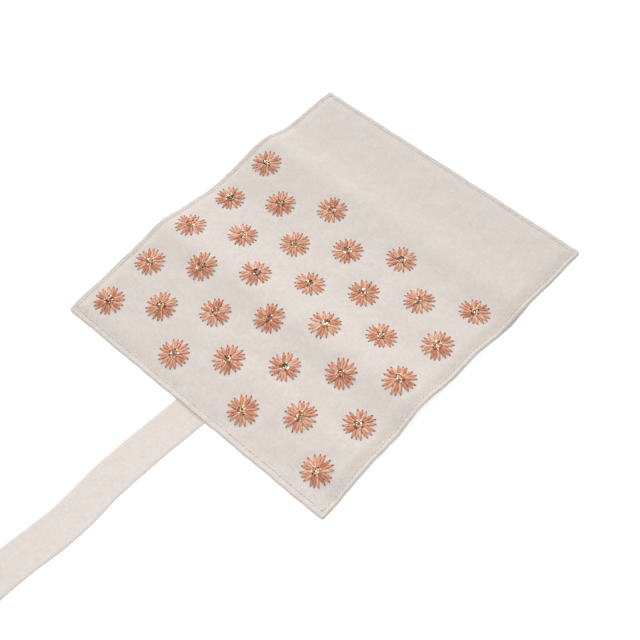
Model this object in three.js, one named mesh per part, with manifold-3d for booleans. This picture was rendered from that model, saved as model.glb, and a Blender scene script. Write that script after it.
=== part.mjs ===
// A jewelry roll of embroidered cloth, lying open with its outside up and its tie running
// out in front. All lengths are in millimetres. +X runs along the tie edge, +Y from the tie
// edge to the flap edge, and +Z is up from the table.
import * as THREE from "three";
import { mergeVertices } from "three/addons/utils/BufferGeometryUtils.js";
import Module from "manifold-3d";

const wasm = await Module();
wasm.setup();

// The opened roll, measured along the cloth from the tie edge to the flap edge
const rollWidth = 216;
const tiePanelLength = 83.7;
const middlePanelLength = 97.3;
const flapLength = 66.5;
const cornerRadius = 2;
const foldGap = 0.3;

// The layers, from the inside of the roll out, and the gap that keeps them apart
const liningThickness = 0.5;
const zipTapeThickness = 0.35;
const pocketBackThickness = 0.3;
const interliningThickness = 0.6;
const shellThickness = 0.7;
const layerGap = 0.25;

// The hem: the shell is turned in round the outside and topstitched through
const hemWidth = 10;
const topstitchInset = 3.2;
const topstitchReach = 0.7;
const topstitchDip = 0.4;
const rimDrop = 0.4;
const edgeRound = 1;
const edgeDrop = 0.7;
const liningInset = 0.3;

// How the cloth lies: its slope in degrees at even stations from the tie edge to the flap
// edge, on the left and on the right. Between two stations it bends in an even arc.
const leftSlopeDegrees = [
  11, 7, 5, 6, 6, 7, 14, -2, -18, -12, -8, -1, 7, 11, 10, -2, -25, -14, 0, 3, -1, -10,
];
const rightSlopeDegrees = [
  -5, 13, 18, 8, -2, 3, 15, 20, -8, -24, -5, 6, -9, -16, -9, 9, 1, -9, -7, 0, 1, -5,
];
const leftEdgeHeight = 0.6;
const rightEdgeHeight = -0.6;
const settleDepth = 0.8;

// The embroidery: rows of daisies, every other row shifted by half a pitch
const flowerDiameter = 20;
const flowerRowPitch = 18.16;
const firstFlowerInset = 17;
const lastFlowerInset = 21.1;
const firstRowInset = 20.2;
const flowerRows = 9;
const flowersInLongRow = 4;
const petalGroups = 6;
const petalsInGroup = 3;
const petalTurnDegrees = 17;
const petalWidth = 1.6;
const threadHeight = 0.7;
const beadClusterDiameter = 6;
const beadClusterHeight = 1.5;
const embroideryGap = 0.3;
const petalNotchShare = 0.64;
const petalCrestShare = 0.6;
const beadShoulderShare = 0.8;

// The zip pockets
const zipEndInset = 20;
const zipTapeWidth = 22;
const zipSlotWidth = 8;
const zipTapeOverrun = 7;
const coilWidth = 3.6;
const coilHeight = 1.2;
const toothPitch = 5.5;
const toothNotch = 0.4;
const tieZipToFold = 33.7;
const middleZipToFold = 20.3;

// The zip slider and its pull
const sliderLength = 9.5;
const sliderWidth = 7.4;
const sliderTailWidth = 5.8;
const sliderWall = 0.7;
const runningGap = 0.3;
const bridgeWidth = 1.5;
const bridgeThickness = 0.7;
const pullThickness = 0.7;
const pullLength = 18;
const pullWidth = 4.4;
const pullNeckWidth = 3.6;
const pullEyeBar = 0.8;
const pullHoleWidth = 2.1;

// The ring bar, a stuffed roll held at one end and snapped down at the other
const ringBarToFold = 8.7;
const ringBarEndInset = 24;
const ringBarWidth = 13;
const ringBarHeight = 6.6;
const ringBarTabLength = 14;
const ringBarTaper = 9;
const ringBarTabThickness = 1;
const ringBarCloth = 0.6;
const stuffingMouthWidth = 5;
const stuffingMouthHeight = 1;

// The snap fastener at the free end of the ring bar
const snapDiameter = 10;
const snapCapHeight = 1.1;
const snapSocketDiameter = 9;
const snapSocketHeight = 1.5;
const studBaseDiameter = 8.6;
const studBaseHeight = 0.5;
const studDiameter = 3.6;
const studNeckDiameter = 2.8;
const studHeight = 1.3;
const studSeatGap = 0.5;

// The snap parts' turned profiles, as shares of their own diameters and heights
const studCrownShare = 0.7;
const socketShoulderShare = 0.75;
const capCrownShare = 0.6;
const capCrownHeightShare = 0.85;
const capRimHeightShare = 0.3;

// The tie, a doubled strip of the shell's cloth
const tieWidth = 25;
const tieThickness = 0.9;
const tieOffset = 2;
const tieSewnDepth = 9;
const tieSewnOut = 1.2;
const tieJoinGap = 0.3;
const tieFoldRun = 72;
const tieFoldRuns = 6;
const tieFoldPitch = 1.5;

// The middle line of the tie's free stretch, as x, distance out from the tie edge and height
const tieRoute = [
  [1.2, 9, 0.75],
  [0.5, 17, 0.5],
  [-0.4, 29, 0.45],
  [-1.2, 47, 0.45],
  [-1.7, 65, 0.45],
  [-0.8, 80, 0.45],
  [-0.3, 96, 0.45],
  [-1.7, 113, 0.45],
  [-3.3, 126, 0.45],
  [-4.3, 139, 0.45],
  [-4.7, 153, 0.45],
  [-4.8, 168, 0.45],
];

// Steps of the meshes
const rowStep = 6;
const columnStep = 33;
const zipColumns = 8;
const profileSteps = 560;
const roundSegments = 12;
const tieTurnSegments = 5;

const sameLine = layerGap / 10;
const zipLength = rollWidth - 2 * zipEndInset;
const ringBarLength = rollWidth - 2 * ringBarEndInset;
const flowerColumnPitch = (rollWidth - firstFlowerInset - lastFlowerInset) / (flowersInLongRow - 1);
const cutLength = tiePanelLength + middlePanelLength + flapLength;
const halfWidth = rollWidth / 2;
const middleFold = tiePanelLength + middlePanelLength;

// Heights of the layers above the underside of the lining
const tapeLow = liningThickness + layerGap;
const tapeHigh = tapeLow + zipTapeThickness;
const pocketBackLow = tapeHigh + layerGap;
const pocketBackHigh = pocketBackLow + pocketBackThickness;
const interliningLow = pocketBackHigh + layerGap;
const interliningHigh = interliningLow + interliningThickness;
const shellLow = interliningHigh + layerGap;
const shellHigh = shellLow + shellThickness;

const clothColour = 0xdcd0c8;
const finishes = {
  shell: { color: clothColour, roughness: 0.92, metalness: 0 },
  interlining: { color: 0xf3f1ec, roughness: 1, metalness: 0 },
  lining: { color: 0xe6dcd2, roughness: 0.7, metalness: 0 },
  pocket: { color: 0xe2d8ce, roughness: 0.85, metalness: 0 },
  tie: { color: clothColour, roughness: 0.9, metalness: 0 },
  thread: { color: 0xdc9a78, roughness: 0.55, metalness: 0 },
  zipTape: { color: 0xd8ccc2, roughness: 0.85, metalness: 0 },
  coil: { color: 0xe4dcd2, roughness: 0.45, metalness: 0 },
  zipMetal: { color: 0xc9a36a, roughness: 0.3, metalness: 1 },
  snapMetal: { color: 0xc8b890, roughness: 0.3, metalness: 1 },
};
const materials = Object.fromEntries(
  Object.entries(finishes).map(([name, finish]) => [name, new THREE.MeshStandardMaterial(finish)]),
);

const group = new THREE.Group();

function addPiece(name, geometry, material) {
  const mesh = new THREE.Mesh(geometry, materials[material]);
  mesh.name = name;
  group.add(mesh);
  return mesh;
}

// One side of the roll seen from its end: points along the waving cloth
function layProfile(slopes, startHeight) {
  const step = cutLength / profileSteps;
  const points = [new THREE.Vector2(0, startHeight)];
  for (let k = 0; k < profileSteps; k += 1) {
    const station = ((k + 0.5) / profileSteps) * (slopes.length - 1);
    const before = Math.floor(station);
    const slope = THREE.MathUtils.lerp(slopes[before], slopes[before + 1], station - before);
    const angle = THREE.MathUtils.degToRad(slope);
    const last = points[k];
    points.push(new THREE.Vector2(last.x + step * Math.cos(angle), last.y + step * Math.sin(angle)));
  }
  return (cut) => {
    const index = THREE.MathUtils.clamp(Math.floor(cut / step), 0, profileSteps - 1);
    return points[index].clone().lerp(points[index + 1], cut / step - index);
  };
}
const leftProfile = layProfile(leftSlopeDegrees, leftEdgeHeight);
const rightProfile = layProfile(rightSlopeDegrees, rightEdgeHeight);
const openLength = (leftProfile(cutLength).x + rightProfile(cutLength).x) / 2;

// The table stops the cloth: what would sink below it lies flat on it
function restOnTable(height) {
  if (height <= 0) {
    return 0;
  }
  return height < settleDepth ? (height * height) / (2 * settleDepth) : height - settleDepth / 2;
}

function undersidePoint(x, cut) {
  const share = (x + halfWidth) / rollWidth;
  const point = leftProfile(cut).lerp(rightProfile(cut), share);
  return new THREE.Vector3(x, point.x - openLength / 2, restOnTable(point.y));
}

// The directions across the roll, along the cloth and out of it, at a point of the cloth
function clothFrame(x, cut) {
  const probe = layerGap;
  const across = undersidePoint(x + probe, cut).sub(undersidePoint(x - probe, cut)).normalize();
  const along = undersidePoint(x, cut + probe).sub(undersidePoint(x, cut - probe)).normalize();
  const up = across.clone().cross(along).normalize();
  return new THREE.Matrix4().makeBasis(across, up.clone().cross(across), up);
}

// Round corners: squares about a corner's centre become circles
function roundCorner(x, cut) {
  const fromSide = cornerRadius - (halfWidth - Math.abs(x));
  const fromEnd = cornerRadius - Math.min(cut, cutLength - cut);
  if (fromSide <= 0 || fromEnd <= 0) {
    return [x, cut];
  }
  const pull = Math.max(fromSide, fromEnd) / Math.hypot(fromSide, fromEnd);
  const newSide = halfWidth - cornerRadius + fromSide * pull;
  const newEnd = cornerRadius - fromEnd * pull;
  return [Math.sign(x) * newSide, cut < cutLength / 2 ? newEnd : cutLength - newEnd];
}

function clothPoint(x, cut, height) {
  const [roundX, roundCut] = roundCorner(x, cut);
  const up = new THREE.Vector3().setFromMatrixColumn(clothFrame(roundX, roundCut), 2);
  return undersidePoint(roundX, roundCut).addScaledVector(up, height);
}

// A closed mesh from points and faces
function solidFrom(points, faces) {
  const geometry = new THREE.BufferGeometry();
  const places = points.flatMap((point) => point.toArray());
  geometry.setAttribute("position", new THREE.Float32BufferAttribute(places, 3));
  geometry.setIndex(faces.flat());
  return geometry;
}

// A layer of cloth between two heights, on a grid of lines. An open cell is a slot.
function clothSolid(xs, cuts, lowAt, highAt, isOpen = () => false) {
  const points = [];
  const faces = [];
  const numbers = new Map();
  const vertex = (i, j, top) => {
    const key = `${i},${j},${top}`;
    if (!numbers.has(key)) {
      numbers.set(key, points.length);
      points.push(clothPoint(xs[i], cuts[j], (top ? highAt : lowAt)(xs[i], cuts[j])));
    }
    return numbers.get(key);
  };
  const filled = (i, j) => {
    const inside = i >= 0 && j >= 0 && i < xs.length - 1 && j < cuts.length - 1;
    return inside && !isOpen((xs[i] + xs[i + 1]) / 2, (cuts[j] + cuts[j + 1]) / 2);
  };
  const quad = (a, b, c, d) => faces.push([a, b, c], [a, c, d]);
  const cellCorners = (i, j, top) =>
    [[i, j], [i + 1, j], [i + 1, j + 1], [i, j + 1]].map(([column, row]) => vertex(column, row, top));
  const wall = (i0, j0, i1, j1) =>
    quad(vertex(i0, j0, false), vertex(i1, j1, false), vertex(i1, j1, true), vertex(i0, j0, true));
  for (let i = 0; i < xs.length - 1; i += 1) {
    for (let j = 0; j < cuts.length - 1; j += 1) {
      if (filled(i, j)) {
        quad(...cellCorners(i, j, true));
        quad(...cellCorners(i, j, false).reverse());
        if (!filled(i, j - 1)) wall(i, j, i + 1, j);
        if (!filled(i + 1, j)) wall(i + 1, j, i + 1, j + 1);
        if (!filled(i, j + 1)) wall(i + 1, j + 1, i, j + 1);
        if (!filled(i - 1, j)) wall(i, j + 1, i, j);
      }
    }
  }
  return solidFrom(points, faces);
}

// Joins two rings of points, the outer with a whole multiple of the inner's count
function joinRings(outer, inner, faces) {
  const ratio = outer.length / inner.length;
  const lead = Math.floor(ratio / 2);
  const outerAt = (k) => outer[(k + outer.length) % outer.length];
  for (let k = 0; k < inner.length; k += 1) {
    const first = k * ratio - lead;
    const next = inner[(k + 1) % inner.length];
    for (let n = 0; n < ratio; n += 1) {
      faces.push([inner[k], outerAt(first + n), outerAt(first + n + 1)]);
    }
    faces.push([inner[k], outerAt(first + ratio), next]);
  }
}

function closeRing(ring, tip, faces) {
  ring.forEach((corner, k) => faces.push([corner, ring[(k + 1) % ring.length], tip]));
}

// A solid through a row of sections, each a ring of points in the same order
function loft(sections) {
  const points = sections.flat();
  const faces = [];
  const count = sections[0].length;
  const ringAt = (s) => Array.from({ length: count }, (_, k) => s * count + k);
  for (let s = 0; s < sections.length - 1; s += 1) {
    joinRings(ringAt(s), ringAt(s + 1), faces);
  }
  const middleOf = (section) =>
    section.reduce((sum, point) => sum.add(point), new THREE.Vector3()).divideScalar(count);
  points.push(middleOf(sections[0]), middleOf(sections[sections.length - 1]));
  closeRing(ringAt(0).reverse(), points.length - 2, faces);
  closeRing(ringAt(sections.length - 1), points.length - 1, faces);
  return solidFrom(points, faces);
}

// Booleans on closed meshes
function toManifold(geometry) {
  const bare = geometry.clone();
  bare.deleteAttribute("normal");
  bare.deleteAttribute("uv");
  const merged = mergeVertices(bare);
  return new wasm.Manifold(
    new wasm.Mesh({
      numProp: 3,
      vertProperties: new Float32Array(merged.getAttribute("position").array),
      triVerts: new Uint32Array(merged.getIndex().array),
    }),
  );
}

function fromManifold(solid) {
  const mesh = solid.getMesh();
  const geometry = new THREE.BufferGeometry();
  geometry.setAttribute("position", new THREE.BufferAttribute(mesh.vertProperties, 3));
  geometry.setIndex(new THREE.BufferAttribute(mesh.triVerts, 1));
  return geometry;
}

// Lines of a grid from one place to another, close to an even step
function evenLines(from, to, step) {
  const count = Math.max(1, Math.round((to - from) / step));
  return Array.from({ length: count + 1 }, (_, k) => THREE.MathUtils.lerp(from, to, k / count));
}

function sortedLines(...lists) {
  const lines = lists.flat().sort((a, b) => a - b);
  return lines.filter((line, k) => k === 0 || line - lines[k - 1] > sameLine);
}

function fromOuterEdge(x, cut) {
  return Math.min(halfWidth - Math.abs(x), cut, cutLength - cut);
}

// Distances from an outer edge at which the shell changes height, each with its drop
const rimLines = [
  [0, rimDrop + edgeDrop],
  [edgeRound, rimDrop],
  [topstitchInset - topstitchReach, rimDrop],
  [topstitchInset, rimDrop + topstitchDip],
  [topstitchInset + topstitchReach, rimDrop],
  [hemWidth, 0],
];

function shellDrop(distance) {
  const next = rimLines.findIndex(([line]) => line >= distance);
  if (next < 0) {
    return 0;
  }
  const [line, drop] = rimLines[next];
  const [lineBefore, dropBefore] = rimLines[Math.max(next - 1, 0)];
  const share = line > lineBefore ? (distance - lineBefore) / (line - lineBefore) : 0;
  return THREE.MathUtils.lerp(dropBefore, drop, share);
}

function shellTopHeight(x, cut) {
  return shellHigh - shellDrop(fromOuterEdge(x, cut));
}

const tieRecess = tieWidth / 2 + layerGap;
function shellUnderHeight(x, cut) {
  const distance = fromOuterEdge(x, cut);
  if (distance > topstitchInset + topstitchReach + sameLine) {
    return shellLow;
  }
  const overTie = Math.abs(x - tieOffset) < tieRecess + sameLine && cut <= hemWidth;
  return tapeLow + (overTie ? tieThickness + layerGap : 0);
}

const innerReach = halfWidth - hemWidth - layerGap;
const rimDistances = rimLines.map(([line]) => line);
const tieZipCut = tiePanelLength - tieZipToFold;
const middleZipCut = tiePanelLength + middleZipToFold;
const panels = [
  { name: "tie_panel", from: 0, to: tiePanelLength, zipCut: tieZipCut, pocketTo: "edge" },
  { name: "middle", from: tiePanelLength, to: middleFold, zipCut: middleZipCut, pocketTo: "fold" },
  { name: "flap", from: middleFold, to: cutLength },
];

for (const panel of panels) {
  const atTieEdge = panel.from === 0;
  const atFlapEdge = panel.to === cutLength;
  const low = panel.from + (atTieEdge ? 0 : foldGap / 2);
  const high = panel.to - (atFlapEdge ? 0 : foldGap / 2);
  const innerLow = atTieEdge ? hemWidth + layerGap : low;
  const innerHigh = atFlapEdge ? cutLength - hemWidth - layerGap : high;
  const rowLow = atTieEdge ? hemWidth : low;
  const rowHigh = atFlapEdge ? cutLength - hemWidth : high;
  const rows = evenLines(rowLow, rowHigh, rowStep);
  const innerRows = sortedLines(
    [innerLow, innerHigh],
    rows.filter((row) => row > innerLow && row < innerHigh),
  );
  const columns = evenLines(hemWidth - halfWidth, halfWidth - hemWidth, columnStep);

  // The shell, with its hem along the outer edges
  const sideLines = rimDistances.flatMap((line) => [line - halfWidth, halfWidth - line]);
  const tieLines = [tieRecess, tieRecess + layerGap].flatMap((line) => [tieOffset - line, tieOffset + line]);
  const shellCuts = sortedLines(
    rows,
    atTieEdge ? rimDistances : [],
    atFlapEdge ? rimDistances.map((line) => cutLength - line) : [],
  );
  const shellXs = sortedLines(columns, sideLines, atTieEdge ? tieLines : []);
  addPiece(`shell_${panel.name}`, clothSolid(shellXs, shellCuts, shellUnderHeight, shellTopHeight), "shell");

  // The soft interlining inside the hem
  const innerXs = columns.map((x) => THREE.MathUtils.clamp(x, -innerReach, innerReach));
  addPiece(
    `interlining_${panel.name}`,
    clothSolid(innerXs, innerRows, () => interliningLow, () => interliningHigh),
    "interlining",
  );

  // The lining, cut open for the zip where the panel has a pocket
  const slotHalf = zipSlotWidth / 2;
  const hasZip = panel.zipCut !== undefined;
  const slotRows = hasZip ? [panel.zipCut - slotHalf, panel.zipCut + slotHalf] : [];
  const liningLow = low + (atTieEdge ? liningInset : 0);
  const liningHigh = high - (atFlapEdge ? liningInset : 0);
  const clearOfSlot = (row) => !hasZip || Math.abs(row - panel.zipCut) > slotHalf + layerGap;
  const liningRows = sortedLines(
    [liningLow, liningHigh],
    slotRows,
    rows.filter((row) => clearOfSlot(row) && row > liningLow && row < liningHigh),
    atTieEdge ? [topstitchInset] : [],
    atFlapEdge ? [cutLength - topstitchInset] : [],
  );
  const liningEdge = halfWidth - liningInset;
  const liningXs = sortedLines(
    columns,
    [-liningEdge, liningEdge],
    hasZip ? [-zipLength / 2, zipLength / 2] : [],
  );
  const inSlot = (x, cut) =>
    hasZip && Math.abs(x) < zipLength / 2 && Math.abs(cut - panel.zipCut) < slotHalf;
  addPiece(
    `lining_${panel.name}`,
    clothSolid(liningXs, liningRows, () => 0, () => liningThickness, inSlot),
    "lining",
  );
  if (hasZip) {
    addPocket(panel, innerXs, innerRows);
  }
}

// A zip pocket: the tape and coil in the lining's slot, and the pocket's back behind them
function addPocket(panel, innerXs, innerRows) {
  const tapeFrom = panel.zipCut - zipTapeWidth / 2;
  const tapeTo = panel.zipCut + zipTapeWidth / 2;
  const toEdge = panel.pocketTo === "edge";
  const pocketFrom = toEdge ? innerRows[0] : tapeFrom;
  const pocketTo = toEdge ? tapeTo : innerRows[innerRows.length - 1];
  const pocketRows = sortedLines(
    [pocketFrom, pocketTo],
    innerRows.filter((row) => row > pocketFrom + layerGap && row < pocketTo - layerGap),
  );
  addPiece(
    `pocket_back_${panel.name}`,
    clothSolid(innerXs, pocketRows, () => pocketBackLow, () => pocketBackHigh),
    "pocket",
  );
  const tapeHalf = zipLength / 2 + zipTapeOverrun;
  const tapeRows = sortedLines(
    [tapeFrom, tapeTo],
    innerRows.filter((row) => row > tapeFrom + layerGap && row < tapeTo - layerGap),
  );
  const tapeXs = evenLines(-tapeHalf, tapeHalf, (2 * tapeHalf) / zipColumns);
  const tape = clothSolid(tapeXs, tapeRows, () => tapeLow, () => tapeHigh);
  addPiece(`zip_tape_${panel.name}`, tape, "zipTape");

  // The coil: a bar of teeth under the tape, notched at every pitch
  const coilHalf = zipLength / 2 - layerGap;
  const toothLines = evenLines(-coilHalf, coilHalf, toothPitch / 2);
  const coilTop = tapeLow - layerGap;
  const sections = toothLines.map((x, k) => {
    const depth = coilHeight - (k % 2 ? toothNotch : 0);
    const half = coilWidth / 2;
    return [
      clothPoint(x, panel.zipCut - half, coilTop),
      clothPoint(x, panel.zipCut - half, coilTop - depth),
      clothPoint(x, panel.zipCut + half, coilTop - depth),
      clothPoint(x, panel.zipCut + half, coilTop),
    ];
  });
  addPiece(`zip_coil_${panel.name}`, loft(sections), "coil");
  addSlider(panel, coilTop);
}

// The outline of a flat piece in the roll's own plane, with its length along X
function plateShape(corners) {
  const shape = new THREE.Shape();
  corners.forEach(([x, y], k) => (k ? shape.lineTo(x, y) : shape.moveTo(x, y)));
  shape.closePath();
  return shape;
}

function plate(shape, thickness) {
  const settings = { depth: thickness, bevelEnabled: false, curveSegments: roundSegments / 2 };
  return new THREE.ExtrudeGeometry(shape, settings);
}

// A zip slider at the closed end of its zip, with a bridge that holds the pull's eye.
// Its own heights are counted down from the top of the coil.
function addSlider(panel, coilTop) {
  const restX = zipLength / 2 - sliderLength;
  const place = clothFrame(restX, panel.zipCut).setPosition(undersidePoint(restX, panel.zipCut));
  const lift = new THREE.Matrix4().makeTranslation(0, 0, coilTop);
  const plateTop = -coilHeight - runningGap;
  const plateLow = plateTop - sliderWall;
  const flangeTop = -layerGap / 2;
  const noseHalf = sliderWidth / 2;
  const tailHalf = sliderTailWidth / 2;
  const half = sliderLength / 2;
  const body = plate(
    plateShape([
      [-half, -tailHalf],
      [half - noseHalf / 2, -noseHalf],
      [half, -noseHalf / 2],
      [half, noseHalf / 2],
      [half - noseHalf / 2, noseHalf],
      [-half, tailHalf],
    ]),
    flangeTop - plateLow,
  ).translate(0, 0, plateLow);
  const channelHalf = coilWidth / 2 + runningGap;
  const channel = new THREE.BoxGeometry(2 * sliderLength, 2 * channelHalf, flangeTop - plateTop + sliderWall);
  channel.translate(0, 0, (plateTop + flangeTop + sliderWall) / 2);

  // The bridge is a half ring about the pull's eye bar, on the table side of the plate
  const eyeGap = pullEyeBar / 2 + runningGap;
  const ringOuter = eyeGap + bridgeThickness;
  const axisHeight = plateLow - eyeGap;
  const arch = new THREE.Shape();
  const foot = sliderWall / 2;
  arch.moveTo(-ringOuter, eyeGap + foot);
  arch.lineTo(-ringOuter, 0);
  arch.absarc(0, 0, ringOuter, Math.PI, 2 * Math.PI, false);
  arch.lineTo(ringOuter, eyeGap + foot);
  arch.lineTo(eyeGap, eyeGap + foot);
  arch.lineTo(eyeGap, 0);
  arch.absarc(0, 0, eyeGap, 2 * Math.PI, Math.PI, true);
  arch.lineTo(-eyeGap, eyeGap + foot);
  arch.closePath();
  const bridge = plate(arch, bridgeWidth)
    .translate(0, 0, -bridgeWidth / 2)
    .rotateX(Math.PI / 2)
    .translate(0, 0, axisHeight);
  const slider = fromManifold(toManifold(body).subtract(toManifold(channel)).add(toManifold(bridge)));
  addPiece(`zip_slider_${panel.name}`, slider.applyMatrix4(lift).applyMatrix4(place), "zipMetal");

  // The pull lies along the closed teeth, its eye bar inside the bridge
  const eyeHalf = pullEyeBar / 2;
  const neckHalf = pullNeckWidth / 2;
  const tabHalf = pullWidth / 2;
  const holeHalf = pullHoleWidth / 2;
  const holeEnd = -(ringOuter + runningGap);
  const shoulder = holeEnd - pullNeckWidth / 2;
  const outline = new THREE.Shape();
  outline.moveTo(eyeHalf, -neckHalf);
  outline.lineTo(eyeHalf, neckHalf);
  outline.lineTo(holeEnd, neckHalf);
  outline.lineTo(shoulder, neckHalf / 2);
  outline.lineTo(eyeHalf - pullLength + tabHalf, tabHalf);
  outline.absarc(eyeHalf - pullLength + tabHalf, 0, tabHalf, Math.PI / 2, (3 * Math.PI) / 2, false);
  outline.lineTo(shoulder, -neckHalf / 2);
  outline.lineTo(holeEnd, -neckHalf);
  outline.closePath();
  outline.holes.push(
    plateShape([
      [-eyeHalf, -holeHalf],
      [holeEnd, -holeHalf],
      [holeEnd, holeHalf],
      [-eyeHalf, holeHalf],
    ]),
  );
  const pull = plate(outline, pullThickness).translate(0, 0, axisHeight - pullThickness / 2);
  addPiece(`zip_pull_${panel.name}`, pull.applyMatrix4(lift).applyMatrix4(place), "zipMetal");
}

// The ring bar lies under the tie panel, beside the fold. Its sections are ovals that
// flatten to a tab at each end.
const barCut = tiePanelLength - ringBarToFold;
const barTop = -runningGap;
const barMiddle = barTop - ringBarHeight / 2;
const barEnd = ringBarLength / 2;
const snapX = barEnd - ringBarTabLength / 2;
const studBaseLow = -studSeatGap - studBaseHeight;
const socketHigh = studBaseLow - layerGap;
const socketLow = socketHigh - snapSocketHeight;
const tabHigh = socketLow - layerGap;
const tabMiddle = tabHigh - ringBarTabThickness / 2;
const sewnTabMiddle = barTop - ringBarTabThickness / 2;

function ovalSection(x, middle, halfAcross, halfHigh) {
  const angles = Array.from({ length: roundSegments }, (_, k) => (2 * Math.PI * k) / roundSegments);
  return angles.map((angle) =>
    clothPoint(x, barCut + halfAcross * Math.cos(angle), middle + halfHigh * Math.sin(angle)),
  );
}

const barHalf = ringBarWidth / 2;
const tabFlat = ringBarTabThickness / 2;
const tabInner = barEnd - ringBarTabLength;
const roundFrom = tabInner - ringBarTaper;
const barStations = [
  [-barEnd, sewnTabMiddle, tabFlat],
  [-tabInner, sewnTabMiddle, tabFlat],
  [-tabInner + ringBarTaper / 3, barTop - ringBarHeight / 3, ringBarHeight / 3],
  [-roundFrom, barMiddle, ringBarHeight / 2],
  [-roundFrom / 3, barMiddle, ringBarHeight / 2],
  [roundFrom / 3, barMiddle, ringBarHeight / 2],
  [roundFrom, barMiddle, ringBarHeight / 2],
  [tabInner - ringBarTaper / 3, (tabMiddle + barMiddle) / 2, ringBarHeight / 3],
  [tabInner, tabMiddle, tabFlat],
  [barEnd, tabMiddle, tabFlat],
];
const coverOuter = loft(barStations.map(([x, middle, high]) => ovalSection(x, middle, barHalf, high)));
const stationsInside = [-roundFrom, -roundFrom / 3, roundFrom / 3, roundFrom];
function stuffing(inset) {
  const halfHigh = ringBarHeight / 2 - inset;
  return loft(stationsInside.map((x) => ovalSection(x, barMiddle, barHalf - inset, halfHigh)));
}
const mouthFrom = -roundFrom - ringBarTaper;
const mouthSections = [mouthFrom, -roundFrom + layerGap].map((x) => [
  clothPoint(x, barCut - stuffingMouthWidth / 2, barMiddle - stuffingMouthHeight / 2),
  clothPoint(x, barCut + stuffingMouthWidth / 2, barMiddle - stuffingMouthHeight / 2),
  clothPoint(x, barCut + stuffingMouthWidth / 2, barMiddle + stuffingMouthHeight / 2),
  clothPoint(x, barCut - stuffingMouthWidth / 2, barMiddle + stuffingMouthHeight / 2),
]);
const barHollow = toManifold(stuffing(ringBarCloth)).add(toManifold(loft(mouthSections)));
addPiece("ring_bar_cover", fromManifold(toManifold(coverOuter).subtract(barHollow)), "lining");
const fillingSections = stationsInside.map((x) =>
  ovalSection(
    x * (1 - runningGap / roundFrom),
    barMiddle,
    barHalf - ringBarCloth - runningGap,
    ringBarHeight / 2 - ringBarCloth - runningGap,
  ),
);
addPiece("ring_bar_filling", loft(fillingSections), "interlining");

// The snap's turned parts, each from a closed profile of radius and height
function turned(profile, x, base) {
  const points = profile.map(([radius, height]) => new THREE.Vector2(radius, height));
  const place = clothFrame(x, barCut).setPosition(clothPoint(x, barCut, base));
  return new THREE.LatheGeometry(points, roundSegments).rotateX(Math.PI / 2).applyMatrix4(place);
}

const studBase = studBaseDiameter / 2;
const studHead = studDiameter / 2;
const studNeck = studNeckDiameter / 2;
addPiece(
  "snap_stud",
  turned(
    [
      [0, 0],
      [0, -studBaseHeight - studHeight],
      [studHead * studCrownShare, -studBaseHeight - studHeight],
      [studHead, -studBaseHeight - studHeight / 2],
      [studNeck, -studBaseHeight],
      [studBase, -studBaseHeight],
      [studBase, 0],
      [0, 0],
    ],
    snapX,
    -studSeatGap,
  ),
  "snapMetal",
);
const socketBore = studHead + runningGap;
const socketOuter = snapSocketDiameter / 2;
addPiece(
  "snap_socket",
  turned(
    [
      [socketBore, 0],
      [socketBore, -snapSocketHeight],
      [socketOuter, -snapSocketHeight],
      [socketOuter, -snapSocketHeight / 3],
      [socketOuter * socketShoulderShare, 0],
      [socketBore, 0],
    ],
    snapX,
    socketHigh,
  ),
  "snapMetal",
);
const capHalf = snapDiameter / 2;
addPiece(
  "snap_cap",
  turned(
    [
      [0, 0],
      [0, -snapCapHeight],
      [capHalf * capCrownShare, -snapCapHeight * capCrownHeightShare],
      [capHalf, -snapCapHeight * capRimHeightShare],
      [capHalf, 0],
      [0, 0],
    ],
    snapX,
    tabHigh - ringBarTabThickness - layerGap,
  ),
  "snapMetal",
);

// The middle of a petal, in radians: the petals stand closer in a group than between two
function petalAngle(petal) {
  const group = Math.floor(petal / petalsInGroup);
  const inGroup = (petal % petalsInGroup) - (petalsInGroup - 1) / 2;
  return (2 * Math.PI * group) / petalGroups + THREE.MathUtils.degToRad(petalTurnDegrees) * inGroup;
}

// One embroidered daisy: petals with blunt ends round a knot of beads. Each petal's edge has
// three points: the two corners of its end, and the notch before the next petal.
function flower(x, cut) {
  const points = [];
  const base = shellHigh + embroideryGap;
  const petals = petalGroups * petalsInGroup;
  const ring = (count, radiusAt, height, angleAt) => {
    const first = points.length;
    for (let k = 0; k < count; k += 1) {
      const angle = angleAt(k);
      const radius = radiusAt(k);
      points.push(clothPoint(x + radius * Math.cos(angle), cut + radius * Math.sin(angle), base + height));
    }
    return Array.from({ length: count }, (_, k) => first + k);
  };
  const centre = (height) => points.push(clothPoint(x, cut, base + height)) - 1;
  const radius = flowerDiameter / 2;
  const knot = beadClusterDiameter / 2;
  const outlineAngle = (k) => {
    const petal = Math.floor(k / 3);
    const notch = (petalAngle(petal) + petalAngle(petal + 1)) / 2;
    const corner = petalWidth / flowerDiameter;
    return [petalAngle(petal) - corner, petalAngle(petal) + corner, notch][k % 3];
  };
  const everyOther = (k) => petalAngle(2 * k);
  const outline = ring(3 * petals, (k) => (k % 3 === 2 ? radius * petalNotchShare : radius), 0, outlineAngle);
  const crests = ring(petals, () => radius * petalCrestShare, threadHeight, petalAngle);
  const knotFoot = ring(petals / 2, () => knot, threadHeight, everyOther);
  const knotHigh = threadHeight + beadClusterHeight * beadShoulderShare;
  const knotTop = ring(petals / 2, () => knot / 2, knotHigh, everyOther);
  const under = ring(petals / 2, () => radius / 2, 0, everyOther);
  const faces = [];
  joinRings(outline, crests, faces);
  joinRings(crests, knotFoot, faces);
  joinRings(knotFoot, knotTop, faces);
  closeRing(knotTop, centre(threadHeight + beadClusterHeight), faces);
  const underFaces = [];
  joinRings(outline, under, underFaces);
  closeRing(under, centre(0), underFaces);
  return solidFrom(points, [...faces, ...underFaces.map(([a, b, c]) => [a, c, b])]);
}

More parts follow.
